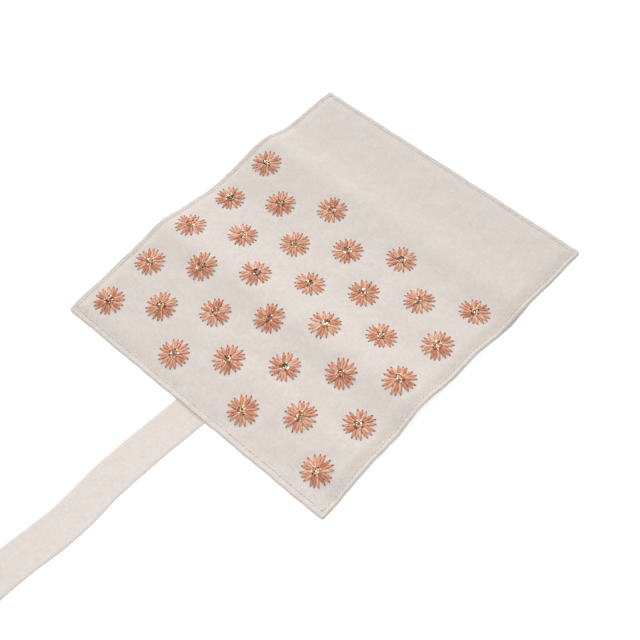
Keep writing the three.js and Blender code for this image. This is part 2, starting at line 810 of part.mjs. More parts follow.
for (let row = 0; row < flowerRows; row += 1) {
  const shortRow = row % 2 === 1;
  const count = flowersInLongRow - (shortRow ? 1 : 0);
  for (let k = 0; k < count; k += 1) {
    const x = firstFlowerInset - halfWidth + flowerColumnPitch * (k + (shortRow ? 0.5 : 0));
    const daisy = flower(x, firstRowInset + flowerRowPitch * row);
    addPiece(`flower_${row + 1}_${k + 1}`, daisy, "thread");
  }
}

// The tie: its sewn end in the hem, its free stretch on the table and the rest folded up
const tieLow = tapeLow;
const sewnXs = evenLines(tieOffset - tieWidth / 2, tieOffset + tieWidth / 2, tieWidth / 2);
const sewnCuts = [-tieSewnOut, edgeRound, topstitchInset, tieSewnDepth];
addPiece(
  "tie_sewn_end",
  clothSolid(sewnXs, sewnCuts, () => tieLow, () => tieLow + tieThickness),
  "tie",
);

// A flat strip along a curve, its width level and square to the way it runs
function strip(centres, sides, ups) {
  const sections = centres.map((centre, k) => {
    const side = sides[k].clone().multiplyScalar(tieWidth / 2);
    const up = ups[k].clone().multiplyScalar(tieThickness / 2);
    return [
      centre.clone().sub(side).sub(up),
      centre.clone().sub(side).add(up),
      centre.clone().add(side).add(up),
      centre.clone().add(side).sub(up),
    ];
  });
  return loft(sections);
}

const tieEdgeY = undersidePoint(tieOffset, 0).y;
const leaveFrame = clothFrame(tieOffset, 0);
const leaveAlong = new THREE.Vector3().setFromMatrixColumn(leaveFrame, 1);
const sewnTip = clothPoint(tieOffset, -tieSewnOut, tieLow + tieThickness / 2);
const freeStart = sewnTip.clone().addScaledVector(leaveAlong, -tieJoinGap);
const routePoints = [
  freeStart,
  ...tieRoute.map(([x, out, height]) => new THREE.Vector3(x, tieEdgeY - out, height)),
];
const route = new THREE.CatmullRomCurve3(routePoints, false, "centripetal");
const routeSteps = 2 * routePoints.length;
const freeCentres = Array.from({ length: routeSteps + 1 }, (_, k) => route.getPoint(k / routeSteps));
const freeTangents = freeCentres.map((_, k) => route.getTangent(k / routeSteps));
freeTangents[0].copy(leaveAlong).negate();
freeTangents[routeSteps].set(0, -1, 0);
const level = new THREE.Vector3(0, 0, 1);
const freeSides = freeTangents.map((tangent) => tangent.clone().cross(level).normalize());
const freeUps = freeTangents.map((tangent, k) => freeSides[k].clone().cross(tangent).normalize());
addPiece("tie_free_stretch", strip(freeCentres, freeSides, freeUps), "tie");

// The rest is folded to and fro in flat runs, one above the other, in line with the tie
const foldStart = freeCentres[routeSteps].clone().add(new THREE.Vector3(0, -tieJoinGap, 0));
const turnRadius = tieFoldPitch / 2;
const foldCentres = [];
const foldWays = [];
for (let run = 0; run < tieFoldRuns; run += 1) {
  const outward = run % 2 === 0;
  const way = outward ? -1 : 1;
  const height = foldStart.z + run * tieFoldPitch;
  const nearY = foldStart.y - (run === 0 ? 0 : turnRadius);
  const farY = foldStart.y - tieFoldRun + turnRadius;
  const [fromY, toY] = outward ? [nearY, farY] : [farY, nearY];
  foldCentres.push(new THREE.Vector3(foldStart.x, fromY, height));
  foldWays.push(new THREE.Vector3(0, way, 0));
  foldCentres.push(new THREE.Vector3(foldStart.x, toY, height));
  foldWays.push(new THREE.Vector3(0, way, 0));
  if (run < tieFoldRuns - 1) {
    for (let turn = 1; turn < tieTurnSegments; turn += 1) {
      const angle = (Math.PI * turn) / tieTurnSegments;
      const out = Math.sin(angle) * turnRadius * way;
      const up = (1 - Math.cos(angle)) * turnRadius;
      foldCentres.push(new THREE.Vector3(foldStart.x, toY + out, height + up));
      foldWays.push(new THREE.Vector3(0, Math.cos(angle) * way, Math.sin(angle)));
    }
  }
}
const foldSides = foldWays.map(() => new THREE.Vector3(-1, 0, 0));
const foldUps = foldWays.map((way, k) => foldSides[k].clone().cross(way).normalize());
addPiece("tie_folded_end", strip(foldCentres, foldSides, foldUps), "tie");

// The tie's whole length, and the least gap between its folded runs, measured on points
function pathLength(points) {
  return points.reduce((sum, point, k) => sum + (k ? point.distanceTo(points[k - 1]) : 0), 0);
}
const tieLength = tieSewnDepth + tieSewnOut + pathLength(freeCentres) + pathLength(foldCentres);
const runHeights = foldCentres.filter((_, k) => foldWays[k].z === 0).map((point) => point.z);
const risesBetween = runHeights.map((height, k) => height - runHeights[Math.max(k - 2, 0)]);
const leastGap = Math.min(...risesBetween.filter((rise) => rise > 0)) - tieThickness;
console.log(`tie length ${tieLength.toFixed(0)} mm, least gap ${leastGap.toFixed(2)} mm`);

// The origin is under the middle of the opened roll, on the table
const rollBox = new THREE.Box3();
group.updateMatrixWorld(true);
for (const piece of group.children) {
  if (!piece.name.startsWith("tie_f")) {
    rollBox.expandByObject(piece, true);
  }
}
const middle = rollBox.getCenter(new THREE.Vector3());
group.position.set(-middle.x, -middle.y, -rollBox.min.z);

export default group;
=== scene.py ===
# %% [markdown]
# # A jewelry roll of embroidered cloth, lying open
#
# The roll is a soft sandwich: an embroidered shell, a felted interlining, two zip pockets and
# a plain lining, folded in three and closed with a long tie. It lies open on a table with its
# outside up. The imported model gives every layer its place, and this script gives each one its
# cloth, thread or metal.
#
# Everything sewn is made flat first, in the plane of the cut cloth, and then laid on the
# waving cloth by one function. That is how the real one is made, and it keeps stitches, petals
# and zip teeth on the cloth however it waves.

# %% Load the frame
import math
from contextlib import contextmanager

import bmesh
import bpy
import numpy as np
from mathutils import Matrix, Vector


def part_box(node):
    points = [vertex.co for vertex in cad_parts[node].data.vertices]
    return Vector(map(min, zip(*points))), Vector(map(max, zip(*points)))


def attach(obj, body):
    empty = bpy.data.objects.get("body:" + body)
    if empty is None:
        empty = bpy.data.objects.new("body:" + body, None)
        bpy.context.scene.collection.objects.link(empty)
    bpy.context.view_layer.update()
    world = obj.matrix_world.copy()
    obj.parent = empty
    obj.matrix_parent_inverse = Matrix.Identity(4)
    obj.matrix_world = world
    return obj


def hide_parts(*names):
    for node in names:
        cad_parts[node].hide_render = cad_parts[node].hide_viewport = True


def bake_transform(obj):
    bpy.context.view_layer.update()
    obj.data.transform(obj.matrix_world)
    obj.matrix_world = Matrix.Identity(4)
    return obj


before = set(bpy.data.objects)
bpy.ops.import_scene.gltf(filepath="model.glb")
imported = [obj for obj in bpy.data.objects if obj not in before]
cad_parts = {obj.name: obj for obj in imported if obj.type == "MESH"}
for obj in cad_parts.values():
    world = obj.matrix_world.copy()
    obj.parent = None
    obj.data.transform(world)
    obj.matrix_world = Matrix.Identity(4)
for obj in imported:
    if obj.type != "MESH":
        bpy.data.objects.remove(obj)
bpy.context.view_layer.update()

scene = bpy.context.scene

# %% [markdown]
# ## The camera
#
# The photograph looks down on the roll from its right front corner. A camera could be pointed at
# a target, but a fit gives more than that: it gives the place and the three axes with which the
# corners and the flowers fall where the picture has them. So those are set as they are.

# %% Camera
camera_place = Vector((0.3091, -0.2998, 0.6170))
camera_right = Vector((0.736345, 0.675012, -0.046428))
camera_up = Vector((-0.547667, 0.634911, 0.544929))
lens_mm = 66.72
sensor_mm = 36


def make_camera():
    """A camera whose own X, Y and Z are the picture's right, up and back."""
    data = bpy.data.cameras.new("photo_camera")
    data.lens = lens_mm
    data.sensor_width = sensor_mm
    camera = bpy.data.objects.new("photo_camera", data)
    axes = Matrix((camera_right, camera_up, camera_right.cross(camera_up))).transposed()
    camera.matrix_world = Matrix.Translation(camera_place) @ axes.to_4x4()
    scene.collection.objects.link(camera)
    scene.camera = camera
    return camera


camera = make_camera()
print("camera at", [round(v, 3) for v in camera.location])

# %% [markdown]
# ## The sizes of the cloth
#
# A place on the cloth is given by x, across the roll, and by cut, the distance along the cut
# cloth from the tie edge to the flap edge. Heights are counted from the underside of the
# lining. These are the same values as in the CAD source, in metres.

# %% Sizes
MM = 0.001
full_turn = 2 * math.pi
roll_width = 216 * MM
tie_panel_length = 83.7 * MM
middle_panel_length = 97.3 * MM
flap_length = 66.5 * MM
corner_radius = 2 * MM
lining_thickness = 0.5 * MM
tape_thickness = 0.35 * MM
pocket_thickness = 0.3 * MM
interlining_thickness = 0.6 * MM
shell_thickness = 0.7 * MM
layer_gap = 0.25 * MM
hem_width = 10 * MM
topstitch_inset = 3.2 * MM
tie_edge_stitch = 3.9 * MM

cut_length = tie_panel_length + middle_panel_length + flap_length
half_width = roll_width / 2
tape_low = lining_thickness + layer_gap
tape_high = tape_low + tape_thickness
pocket_low = tape_high + layer_gap
pocket_high = pocket_low + pocket_thickness
interlining_low = pocket_high + layer_gap
interlining_high = interlining_low + interlining_thickness
shell_low = interlining_high + layer_gap
shell_high = shell_low + shell_thickness
print(f"cut cloth {roll_width / MM:.0f} x {cut_length / MM:.1f} mm, {shell_high / MM:.2f} mm thick")

# %% [markdown]
# ## How the cloth lies
#
# The cloth waves along its length, and differently on its left and on its right. Each side is
# a profile: a slope in degrees at even stations, from the tie edge to the flap edge. They follow
# the CAD model's wave within a millimetre, in finer steps, so that the creases at the two folds
# are as short as in the photograph. Between the two sides the cloth is a straight rule, and
# where it would sink below the table it rests. A cloth simulation would wave too, but never in
# the picture's own creases, and never twice alike.

# %% The waving cloth
left_slopes = [
    10, 11, 6, 5, 4, 5, 9, 6, 4, 8, 6, 10, 11, 12, -1, -14, -17, -14, -7, -10, -12, -7,
    -4, 2, 10, 11, 9, 9, 10, 7, 2, -18, -28, -18, -14, -6, 0, 3, 3, -1, -2, -4, -11,
]
right_slopes = [
    -12, 6, 14, 16, 19, 12, 11, 4, -7, 3, 4, 1, 16, 23, 20, 5, -11, -16, -23, -14, -3, 3,
    7, -4, -9, -13, -17, -15, -7, -4, 9, 16, -2, -9, -8, -6, -9, -3, 3, 0, 0, 0, -6,
]
left_edge_height = 0.6 * MM
right_edge_height = -0.6 * MM
settle_depth = 0.8 * MM
profile_steps = 2240
probe = layer_gap


def lay_profile(slopes, start_height):
    """Points, as run and height, along one side of the waving cloth."""
    stations = (np.arange(profile_steps) + 0.5) / profile_steps * (len(slopes) - 1)
    angles = np.radians(np.interp(stations, range(len(slopes)), slopes))
    steps = np.stack([np.cos(angles), np.sin(angles)], axis=1) * cut_length / profile_steps
    start = np.array([[0, start_height]])
    return np.concatenate([start, start + np.cumsum(steps, axis=0)])


left_profile = lay_profile(left_slopes, left_edge_height)
right_profile = lay_profile(right_slopes, right_edge_height)
open_length = (left_profile[-1, 0] + right_profile[-1, 0]) / 2


def along_profile(profile, cut):
    place = cut / cut_length * profile_steps
    before = np.clip(np.floor(place), 0, profile_steps - 1).astype(int)
    share = (place - before)[..., None]
    return profile[before] * (1 - share) + profile[before + 1] * share


def rest_on_table(height):
    """What would sink below the table lies flat on it."""
    settling = height * height / (2 * settle_depth)
    free = height - settle_depth / 2
    return np.where(height <= 0, 0, np.where(height < settle_depth, settling, free))


def underside(x, cut):
    share = (x / roll_width + 0.5)[..., None]
    side = along_profile(left_profile, cut) * (1 - share) + along_profile(right_profile, cut) * share
    return np.stack([x, side[..., 0] - open_length / 2, rest_on_table(side[..., 1])], axis=-1)


def unit(vectors):
    return vectors / np.linalg.norm(vectors, axis=-1, keepdims=True)


def cloth_axes(x, cut):
    """The directions across the roll, along the cloth and out of it."""
    across = unit(underside(x + probe, cut) - underside(x - probe, cut))
    along = unit(underside(x, cut + probe) - underside(x, cut - probe))
    out = unit(np.cross(across, along))
    return across, np.cross(out, across), out


print(f"lying open, the cloth is {open_length / MM:.1f} mm long")

# %% [markdown]
# A cut edge is never quite straight. The corners are turned with a small radius, and a hem that
# is fed by hand strays by a fraction of a millimetre, on its ends and sides in different waves.
# Each layer could have its own crooked outline, but the layers are sewn together. So the places
# themselves are moved before they are laid, and all layers and stitches stray alike.

# %% The outline and the point above a place
hem_stray = 0.22 * MM
stray_reach = 6 * MM
side_wave = 31 * MM
end_wave = 37 * MM
slow_share = 0.6


def from_sides(x):
    return half_width - np.abs(x)


def from_ends(cut):
    return np.minimum(cut, cut_length - cut)


def round_corner(x, cut):
    """Squares about the centre of a corner become circles."""
    past_side = corner_radius - from_sides(x)
    past_end = corner_radius - from_ends(cut)
    at_corner = (past_side > 0) & (past_end > 0)
    pull = np.maximum(past_side, past_end) / np.maximum(np.hypot(past_side, past_end), 1e-9)
    side = np.sign(x) * (half_width - corner_radius + past_side * pull)
    end = corner_radius - past_end * pull
    end = np.where(cut < cut_length / 2, end, cut_length - end)
    return np.where(at_corner, side, x), np.where(at_corner, end, cut)


def sway(phase, shift, faster):
    """Two sine waves together, from -1 to 1."""
    slow, fast = np.sin(phase + shift), np.sin(faster * phase + 2 * shift)
    return slow_share * slow + (1 - slow_share) * fast


def uneven_hem(x, cut):
    """The hem strays a little to and fro, and the cloth inside it less."""
    side_way = np.sign(x) * hem_stray * np.exp(-np.maximum(from_sides(x), 0) / stray_reach)
    end_way = np.sign(cut - cut_length / 2) * hem_stray
    end_way = end_way * np.exp(-np.maximum(from_ends(cut), 0) / stray_reach)
    side = sway(full_turn * cut / side_wave, np.sign(x), 2.3)
    end = sway(full_turn * x / end_wave, cut / cut_length, 2.7)
    return x + side_way * side, cut + end_way * end


roll_place = np.zeros(3)


def cloth_point(x, cut, height):
    """The point above a place on the cloth, in the frame's own metres."""
    x, cut, height = np.broadcast_arrays(*(np.asarray(v, float) for v in (x, cut, height)))
    x, cut = uneven_hem(*round_corner(x, cut))
    return underside(x, cut) + cloth_axes(x, cut)[2] * height[..., None] + roll_place


# %% [markdown]
# The CAD model is centred on its own box, so the cloth has to be moved to it. The start of the
# tie's folded end is at a known place of both, and gives the shift.

# %% Line up with the frame
tie_offset = 2 * MM
tie_join_gap = 0.3 * MM
tie_route = np.array([
    [1.2, 9, 0.75],
    [0.5, 17, 0.5],
    [-0.4, 29, 0.45],
    [-1.2, 47, 0.45],
    [-1.7, 65, 0.45],
    [-0.8, 80, 0.45],
    [-0.3, 96, 0.45],
    [-1.7, 113, 0.45],
    [-3.3, 126, 0.45],
    [-4.3, 139, 0.45],
    [-4.7, 153, 0.45],
    [-4.8, 168, 0.45],
]) * MM
folded_low, folded_high = (np.array(corner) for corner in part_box("tie_folded_end"))
tie_edge = underside(np.array(tie_offset), np.array(0.0))
fold_start_x = tie_route[-1, 0]
fold_start_y = tie_edge[1] - tie_route[-1, 1] - tie_join_gap
roll_place = np.array(
    [(folded_low[0] + folded_high[0]) / 2 - fold_start_x, folded_high[1] - fold_start_y, 0]
)
print("shift to the frame, mm:", np.round(roll_place / MM, 3))

# %% [markdown]
# ## Helpers for meshes
#
# Soft noise is a sum of a few sine waves in fixed directions, so that it is smooth, needs no
# library and is the same each run.

# %% Noise, ramps and meshes
def soft_noise(x, y, wavelength, seed, waves=7):
    """A smooth, even noise from -1 to 1 with about that wavelength."""
    random = np.random.default_rng(seed)
    total = 0
    for _ in range(waves):
        angle, phase = random.uniform(0, full_turn, 2)
        stretch = random.uniform(0.7, 1.4) * full_turn / wavelength
        total = total + np.sin((x * math.cos(angle) + y * math.sin(angle)) * stretch + phase)
    return total / math.sqrt(2 * waves)


def ramp(value, low, high):
    """Rises smoothly from 0 at low to 1 at high."""
    share = np.clip((value - low) / (high - low), 0, 1)
    return share * share * (3 - 2 * share)


def bell(away, width):
    """1 at no distance, and less and less away from it."""
    return np.exp(-((away / width) ** 2))


def link(name, mesh):
    piece = bpy.data.objects.new(name, mesh)
    scene.collection.objects.link(piece)
    return piece


def mesh_object(name, points, faces, material):
    mesh = bpy.data.meshes.new(name)
    mesh.from_pydata(np.asarray(points).reshape(-1, 3).tolist(), [], faces)
    mesh.polygons.foreach_set("use_smooth", [True] * len(mesh.polygons))
    mesh.materials.append(material)
    mesh.update()
    return link(name, mesh)


@contextmanager
def edited(mesh):
    """Opens a mesh for work on its points and faces, and writes them back."""
    work = bmesh.new()
    work.from_mesh(mesh)
    yield work
    work.to_mesh(mesh)
    work.free()


def set_uv(piece, places):
    """Gives each corner of the mesh the flat place of its point."""
    mesh = piece.data
    corners = np.zeros(len(mesh.loops), np.int32)
    mesh.loops.foreach_get("vertex_index", corners)
    layer = mesh.uv_layers.new(name="cloth")
    layer.data.foreach_set("uv", np.asarray(places)[corners].astype(np.float32).ravel())


# %% [markdown]
# A layer of cloth is a grid of lines across and along the roll, with an upper and a lower
# height at each crossing. A plane that a modifier thickens is the usual way, but it can't thin
# towards a folded edge. Here, where the two heights meet, the two points are one, so the edge
# closes by itself. Cells can be left open, which makes the slot for a zip.

# %% A layer of cloth
same_line = 0.02 * MM
touching = 1e-7


def even_lines(start, end, step):
    return np.linspace(start, end, max(1, round((end - start) / step)) + 1)


def merged_lines(*lists):
    lines = np.sort(np.concatenate(lists))
    return lines[np.concatenate([[True], np.diff(lines) > same_line])]


def cloth_layer(name, xs, cuts, low_at, high_at, material, is_open=None, slip=None):
    """A closed sheet between two height functions over a grid of lines. Slip moves it in its
    own plane."""
    x, cut = np.meshgrid(xs, cuts, indexing="ij")
    low, high = low_at(x, cut), high_at(x, cut)
    if slip:
        x, cut = slip(x, cut)
    columns, rows = x.shape
    top = np.arange(columns * rows).reshape(columns, rows)
    bottom = np.where(high - low < touching, top, top + columns * rows)
    filled = np.ones((columns - 1, rows - 1), bool)
    if is_open:
        middles = [(lines[1:] + lines[:-1]) / 2 for lines in (xs, cuts)]
        filled = ~is_open(*np.meshgrid(*middles, indexing="ij"))
    i, j = np.nonzero(filled)
    upper = np.stack([top[i, j], top[i + 1, j], top[i + 1, j + 1], top[i, j + 1]], axis=1)
    lower = np.stack([bottom[i, j], bottom[i, j + 1], bottom[i + 1, j + 1], bottom[i + 1, j]], axis=1)
    faces = upper.tolist() + lower.tolist()
    first_wall = len(faces)
    around = np.pad(filled, 1)
    for a, b in zip(i, j):
        for da, db, start, end in (
            (0, -1, (a, b), (a + 1, b)),
            (1, 0, (a + 1, b), (a + 1, b + 1)),
            (0, 1, (a + 1, b + 1), (a, b + 1)),
            (-1, 0, (a, b + 1), (a, b)),
        ):
            if not around[a + 1 + da, b + 1 + db]:
                ring = [bottom[start], bottom[end], top[end], top[start]]
                ring = [int(v) for k, v in enumerate(ring) if v not in ring[:k]]
                if len(ring) > 2:
                    faces.append(ring)
    points = [cloth_point(x, cut, height).reshape(-1, 3) for height in (high, low)]
    piece = mesh_object(name, np.concatenate(points), faces, material)
    set_uv(piece, np.tile(np.stack([x, cut], axis=-1).reshape(-1, 2), (2, 1)))
    with edited(piece.data) as work:
        work.faces.ensure_lookup_table()
        for wall in work.faces[first_wall:]:
            for edge in wall.edges:
                edge.smooth = False
        loose = [v for v in work.verts if not v.link_faces]
        bmesh.ops.delete(work, geom=loose, context="VERTS")
    print(f"{name}: {len(piece.data.polygons)} faces")
    return piece


# %% [markdown]
# ## Helpers for node trees
#
# Geometry trees and materials are both built with add(): it makes one node, fills its inputs
# from values or from other nodes, and returns an output. The output is wrapped in a small
# class, so that a formula is written as a formula, and each sign in it makes one Math node.

# %% Nodes in code
class Output:
    """A node's output that can stand in a formula."""

    def __init__(self, tree, socket):
        self.tree = tree
        self.socket = socket

    def other(self, label):
        """Another output of the same node."""
        return Output(self.tree, self.socket.node.outputs[label])

    def maths(self, operation, second=0.0, **settings):
        return maths(self.tree, operation, self, second, **settings)

    def __add__(self, second):
        return self.maths("ADD", second)

    def __sub__(self, second):
        return self.maths("SUBTRACT", second)

    def __rsub__(self, first):
        return maths(self.tree, "SUBTRACT", first, self)

    def __mul__(self, second):
        return self.maths("MULTIPLY", second)

    def __truediv__(self, second):
        return self.maths("DIVIDE", second)

    def __rtruediv__(self, first):
        return maths(self.tree, "DIVIDE", first, self)

    def __mod__(self, second):
        return self.maths("MODULO", second)

    def __pow__(self, second):
        return self.maths("POWER", second)

    def __neg__(self):
        return self.maths("MULTIPLY", -1.0)


def fill(tree, socket, value):
    """Sets an input to a value, or links it to an output or to a list of outputs."""
    for one in value if isinstance(value, list) else [value]:
        if isinstance(one, Output):
            tree.links.new(one.socket, socket)
        else:
            socket.default_value = one


def add(tree, kind, inputs=None, out=0, **settings):
    """Makes a node. inputs maps a label or a number to a value or an output."""
    node = tree.nodes.new(kind)
    for key, value in settings.items():
        setattr(node, key, value)
    for label, value in (inputs or {}).items():
        fill(tree, node.inputs[label], value)
    return Output(tree, node.outputs[out])


def maths(tree, operation, first, second=0.0, **settings):
    return add(tree, "ShaderNodeMath", {0: first, 1: second}, operation=operation, **settings)


SOCKETS = {float: "NodeSocketFloat", int: "NodeSocketInt", bpy.types.Material: "NodeSocketMaterial"}


def new_group(name, kind, inputs, outputs):
    """A node group with named inputs, which are found again as the outputs of its first node.
    An input is given as its default value, or as its kind of socket."""
    tree = bpy.data.node_groups.new(name, kind)
    for label, socket in outputs.items():
        tree.interface.new_socket(label, in_out="OUTPUT", socket_type=socket)
    for label, value in inputs.items():
        socket = value if isinstance(value, str) else SOCKETS[type(value)]
        made = tree.interface.new_socket(label, in_out="INPUT", socket_type=socket)
        if not isinstance(value, str):
            made.default_value = value
    start = tree.nodes.new("NodeGroupInput")
    end = tree.nodes.new("NodeGroupOutput")
    return tree, {label: Output(tree, start.outputs[label]) for label in inputs}, end.inputs


# %% [markdown]
# The same few steps come back in every geometry tree: points along a line, a tube round a
# curve, a random number, a value kept on each copy. A tree is run on a small mesh of points or
# lines, and what it made is taken as a plain mesh and laid on the cloth.

# %% Steps of the geometry trees
def vector(tree, x=0.0, y=0.0, z=0.0):
    return add(tree, "ShaderNodeCombineXYZ", {"X": x, "Y": y, "Z": z})


def scatter(tree, low, high, seed, number=None):
    """A random value for each point, or for each value of a number."""
    inputs = {2: low, 3: high, "Seed": seed}
    if number:
        inputs["ID"] = number
    return add(tree, "FunctionNodeRandomValue", inputs, out=1, data_type="FLOAT")


def keep(tree, geometry, label, value, domain="INSTANCE"):
    """Keeps a value on each copy or point, to be read later by its name."""
    return add(
        tree, "GeometryNodeStoreNamedAttribute", {"Geometry": geometry, "Name": label, "Value": value},
        data_type="FLOAT", domain=domain,
    )


def copied(tree, centres, count):
    """Every centre as so many points, and the number of each copy."""
    points = add(tree, "GeometryNodeMeshToPoints", {"Mesh": centres})
    copies = add(
        tree, "GeometryNodeDuplicateElements", {"Geometry": points, "Amount": count}, domain="POINT",
    )
    return copies, copies.other("Duplicate Index")


def points_along(tree, line, pitch):
    curve = add(tree, "GeometryNodeMeshToCurve", {"Mesh": line})
    return add(tree, "GeometryNodeResampleCurve", {"Curve": curve, "Length": pitch}, mode="LENGTH")


def tube(tree, curve, thickness, sides):
    ring = add(
        tree, "GeometryNodeCurvePrimitiveCircle", {"Resolution": sides, "Radius": thickness / 2.0},
    )
    return add(
        tree, "GeometryNodeCurveToMesh", {"Curve": curve, "Profile Curve": ring, "Fill Caps": True},
    )


def bent_tube(tree, start, middle, end, steps, thickness):
    """A tube on a curve that leaves its start towards the middle point and so comes to its end."""
    curve = add(
        tree, "GeometryNodeCurveQuadraticBezier",
        {"Resolution": steps, "Start": start, "Middle": middle, "End": end},
    )
    return tube(tree, curve, thickness, sides=6)


def made_real(tree, geometry, smooth=True):
    real = add(tree, "GeometryNodeRealizeInstances", {"Geometry": geometry})
    return add(tree, "GeometryNodeSetShadeSmooth", {"Geometry": real, "Shade Smooth": smooth})


def coloured(tree, geometry, material):
    return add(tree, "GeometryNodeSetMaterial", {"Geometry": geometry, "Material": material})


# %% Growing a tree and laying it on the cloth
def grow(tree, name, base, settings):
    """Runs a geometry tree on a mesh and returns what it made as a plain mesh."""
    holder = link(name + "_base", base)
    modifier = holder.modifiers.new("grow", "NODES")
    modifier.node_group = tree
    for item in tree.interface.items_tree:
        if item.in_out == "INPUT" and item.name in settings:
            modifier[item.identifier] = settings[item.name]
        elif item.in_out == "INPUT" and item.socket_type == "NodeSocketMaterial":
            modifier[item.identifier] = item.default_value
    holder.update_tag()
    bpy.context.view_layer.update()
    graph = bpy.context.evaluated_depsgraph_get()
    mesh = bpy.data.meshes.new_from_object(holder.evaluated_get(graph), depsgraph=graph)
    mesh.name = name
    bpy.data.objects.remove(holder)
    return mesh


def lay_on_cloth(mesh, base_at, side=1):
    """Moves a mesh from the plane of the cut cloth to the waving cloth, on its upper side or
    on its under side."""
    flat = np.zeros(len(mesh.vertices) * 3)
    mesh.vertices.foreach_get("co", flat)
    x, cut, height = flat.reshape(-1, 3).T
    laid = cloth_point(x, cut, base_at(x, cut) + side * height)
    mesh.vertices.foreach_set("co", laid.ravel())
    if side < 0:
        mesh.flip_normals()
    mesh.update()
    return mesh


# %% [markdown]
# ## Cloth
#
# The shell is a matte off-white cloth of cotton and linen. Up close it has a plain weave and
# short slubs along both threads; from a step away only a soft unevenness is left. A picture of
# cloth would repeat and blur. The weave is a node group instead, which reads the cloth's own
# flat place, so it follows every wave, and each cloth uses the group with its own values.

# %% The weave as a shader group
slub_stretches = ((1, 0.08, 1), (0.08, 1, 1))
slub_scale, mottle_scale, nap_scale, fleck_scale = 1400, 120, 430, 620
fleck_level = 0.72
fleck_darkness = -7.0
slub_shade, thread_shade, thread_relief = 0.6, 0.04, 0.25


def build_weave_group():
    tree, given, made = new_group(
        "woven cloth", "ShaderNodeTree",
        {"Place": "NodeSocketVector", "Thread Pitch": 0.5 * MM, "Slub": 0.5, "Mottle": 0.5, "Fleck": 0.5},
        {"Height": "NodeSocketFloat", "Shade": "NodeSocketFloat"},
    )
    place = given["Place"]

    def noise(at, scale, detail, **more):
        return add(tree, "ShaderNodeTexNoise", {"Vector": at, "Scale": scale, "Detail": detail, **more})

    turns = full_turn / given["Thread Pitch"]
    scaled = add(tree, "ShaderNodeVectorMath", {0: place, "Scale": turns}, operation="SCALE")
    flat = add(tree, "ShaderNodeSeparateXYZ", {0: scaled})
    crossing = flat.maths("SINE") * flat.other("Y").maths("SINE")
    slubs = []
    for stretch in slub_stretches:
        pulled = add(tree, "ShaderNodeVectorMath", {0: place, 1: stretch}, operation="MULTIPLY")
        slubs.append(noise(pulled, slub_scale, 2))
    slub = (slubs[0] + slubs[1] - 1.0) * given["Slub"]
    mottle = (noise(place, mottle_scale, 4, Roughness=0.7) - 0.5) * given["Mottle"]
    nap = (noise(place, nap_scale, 3, Roughness=0.7) - 0.5) * (given["Mottle"] * 2.0)
    specks = (noise(place, fleck_scale, 1, Lacunarity=3) - fleck_level).maths("MAXIMUM", 0.0)
    fleck = specks * fleck_darkness * given["Fleck"]
    shade = slub * slub_shade + mottle + (nap + fleck) + crossing * thread_shade
    fill(tree, made["Height"], crossing * thread_relief + slub)
    fill(tree, made["Shade"], shade.maths("ADD", 0.5, use_clamp=True))
    return tree


weave_group = build_weave_group()
print("shader group:", weave_group.name)

# %% Materials of cloth
def linear(colour):
    """A colour as a picture shows it, from 0 to 255, in Blender's linear values."""
    shares = [value / 255 for value in colour]
    return (*(s / 12.92 if s <= 0.04045 else ((s + 0.055) / 1.055) ** 2.4 for s in shares), 1)


def blended(tree, share, first, second):
    """A colour between two."""
    return add(tree, "ShaderNodeMix", {0: share, 6: first, 7: second}, out=2, data_type="RGBA")


def new_material(name):
    material = bpy.data.materials.new(name)
    material.use_nodes = True
    return material, material.node_tree


def fill_shader(tree, values):
    for label, value in values.items():
        fill(tree, tree.nodes["Principled BSDF"].inputs[label], value)


def cloth_material(
    name, dark, light, pitch, slub=0.5, mottle=0.4, fleck=0.0, roughness=0.92, relief=0.12, sheen=0.2,
):
    """Woven cloth that reads its own flat place."""
    material, tree = new_material(name)
    place = add(tree, "ShaderNodeUVMap", uv_map="cloth")
    height = add(
        tree, "ShaderNodeGroup",
        {"Place": place, "Thread Pitch": pitch, "Slub": slub, "Mottle": mottle, "Fleck": fleck},
        node_tree=weave_group,
    )
    bump = add(tree, "ShaderNodeBump", {"Height": height, "Strength": 1.0, "Distance": relief * MM})
    fill_shader(tree, {
        "Base Color": blended(tree, height.other("Shade"), linear(dark), linear(light)),
        "Normal": bump, "Roughness": roughness, "Sheen Weight": sheen, "Sheen Roughness": 0.6,
        "Specular IOR Level": 0.2,
    })
    return material


shell_cloth = cloth_material("shell cloth", (210, 200, 192), (238, 230, 224), 0.5 * MM, fleck=1.0)
# painted light: the tie is the shell's cloth, painted a little lighter than the shell
tie_cloth = cloth_material("tie cloth painted lighter", (216, 206, 198), (242, 234, 228), 0.5 * MM, fleck=1.0)
lining_cloth = cloth_material(
    "lining cloth", (214, 203, 192), (232, 223, 214), 0.28 * MM,
    slub=0.25, mottle=0.35, roughness=0.6, relief=0.05, sheen=0.35,
)
pocket_cloth = cloth_material(
    "pocket cloth", (212, 200, 188), (228, 218, 208), 0.3 * MM, slub=0.3, relief=0.06,
)
tape_cloth = cloth_material(
    "zip tape", (206, 194, 182), (226, 216, 206), 0.7 * MM, slub=0.15, relief=0.16,
)
felt = cloth_material(
    "interlining felt", (232, 229, 222), (246, 244, 240), 1.1 * MM, slub=1.0, relief=0.2,
)
print("cloths:", shell_cloth.name, tie_cloth.name, lining_cloth.name, felt.name)

# %% [markdown]
# ## Thread, beads and metal
#
# The petals are satin stitch in a copper and peach thread. The colour varies from strand to
# strand, by a number that the tree stores on each: partly the dye, which is a little uneven,
# and partly painted sheen, as each strand catches the light at its own angle. The strands on a
# petal's crest are painted lighter, as a highlight, and those at its sides darker.

# %% Materials of thread and metal
fibre_scale, fibre_shade = 2600, 0.5
scratch_scale, scratch_roughness = 900, 0.15


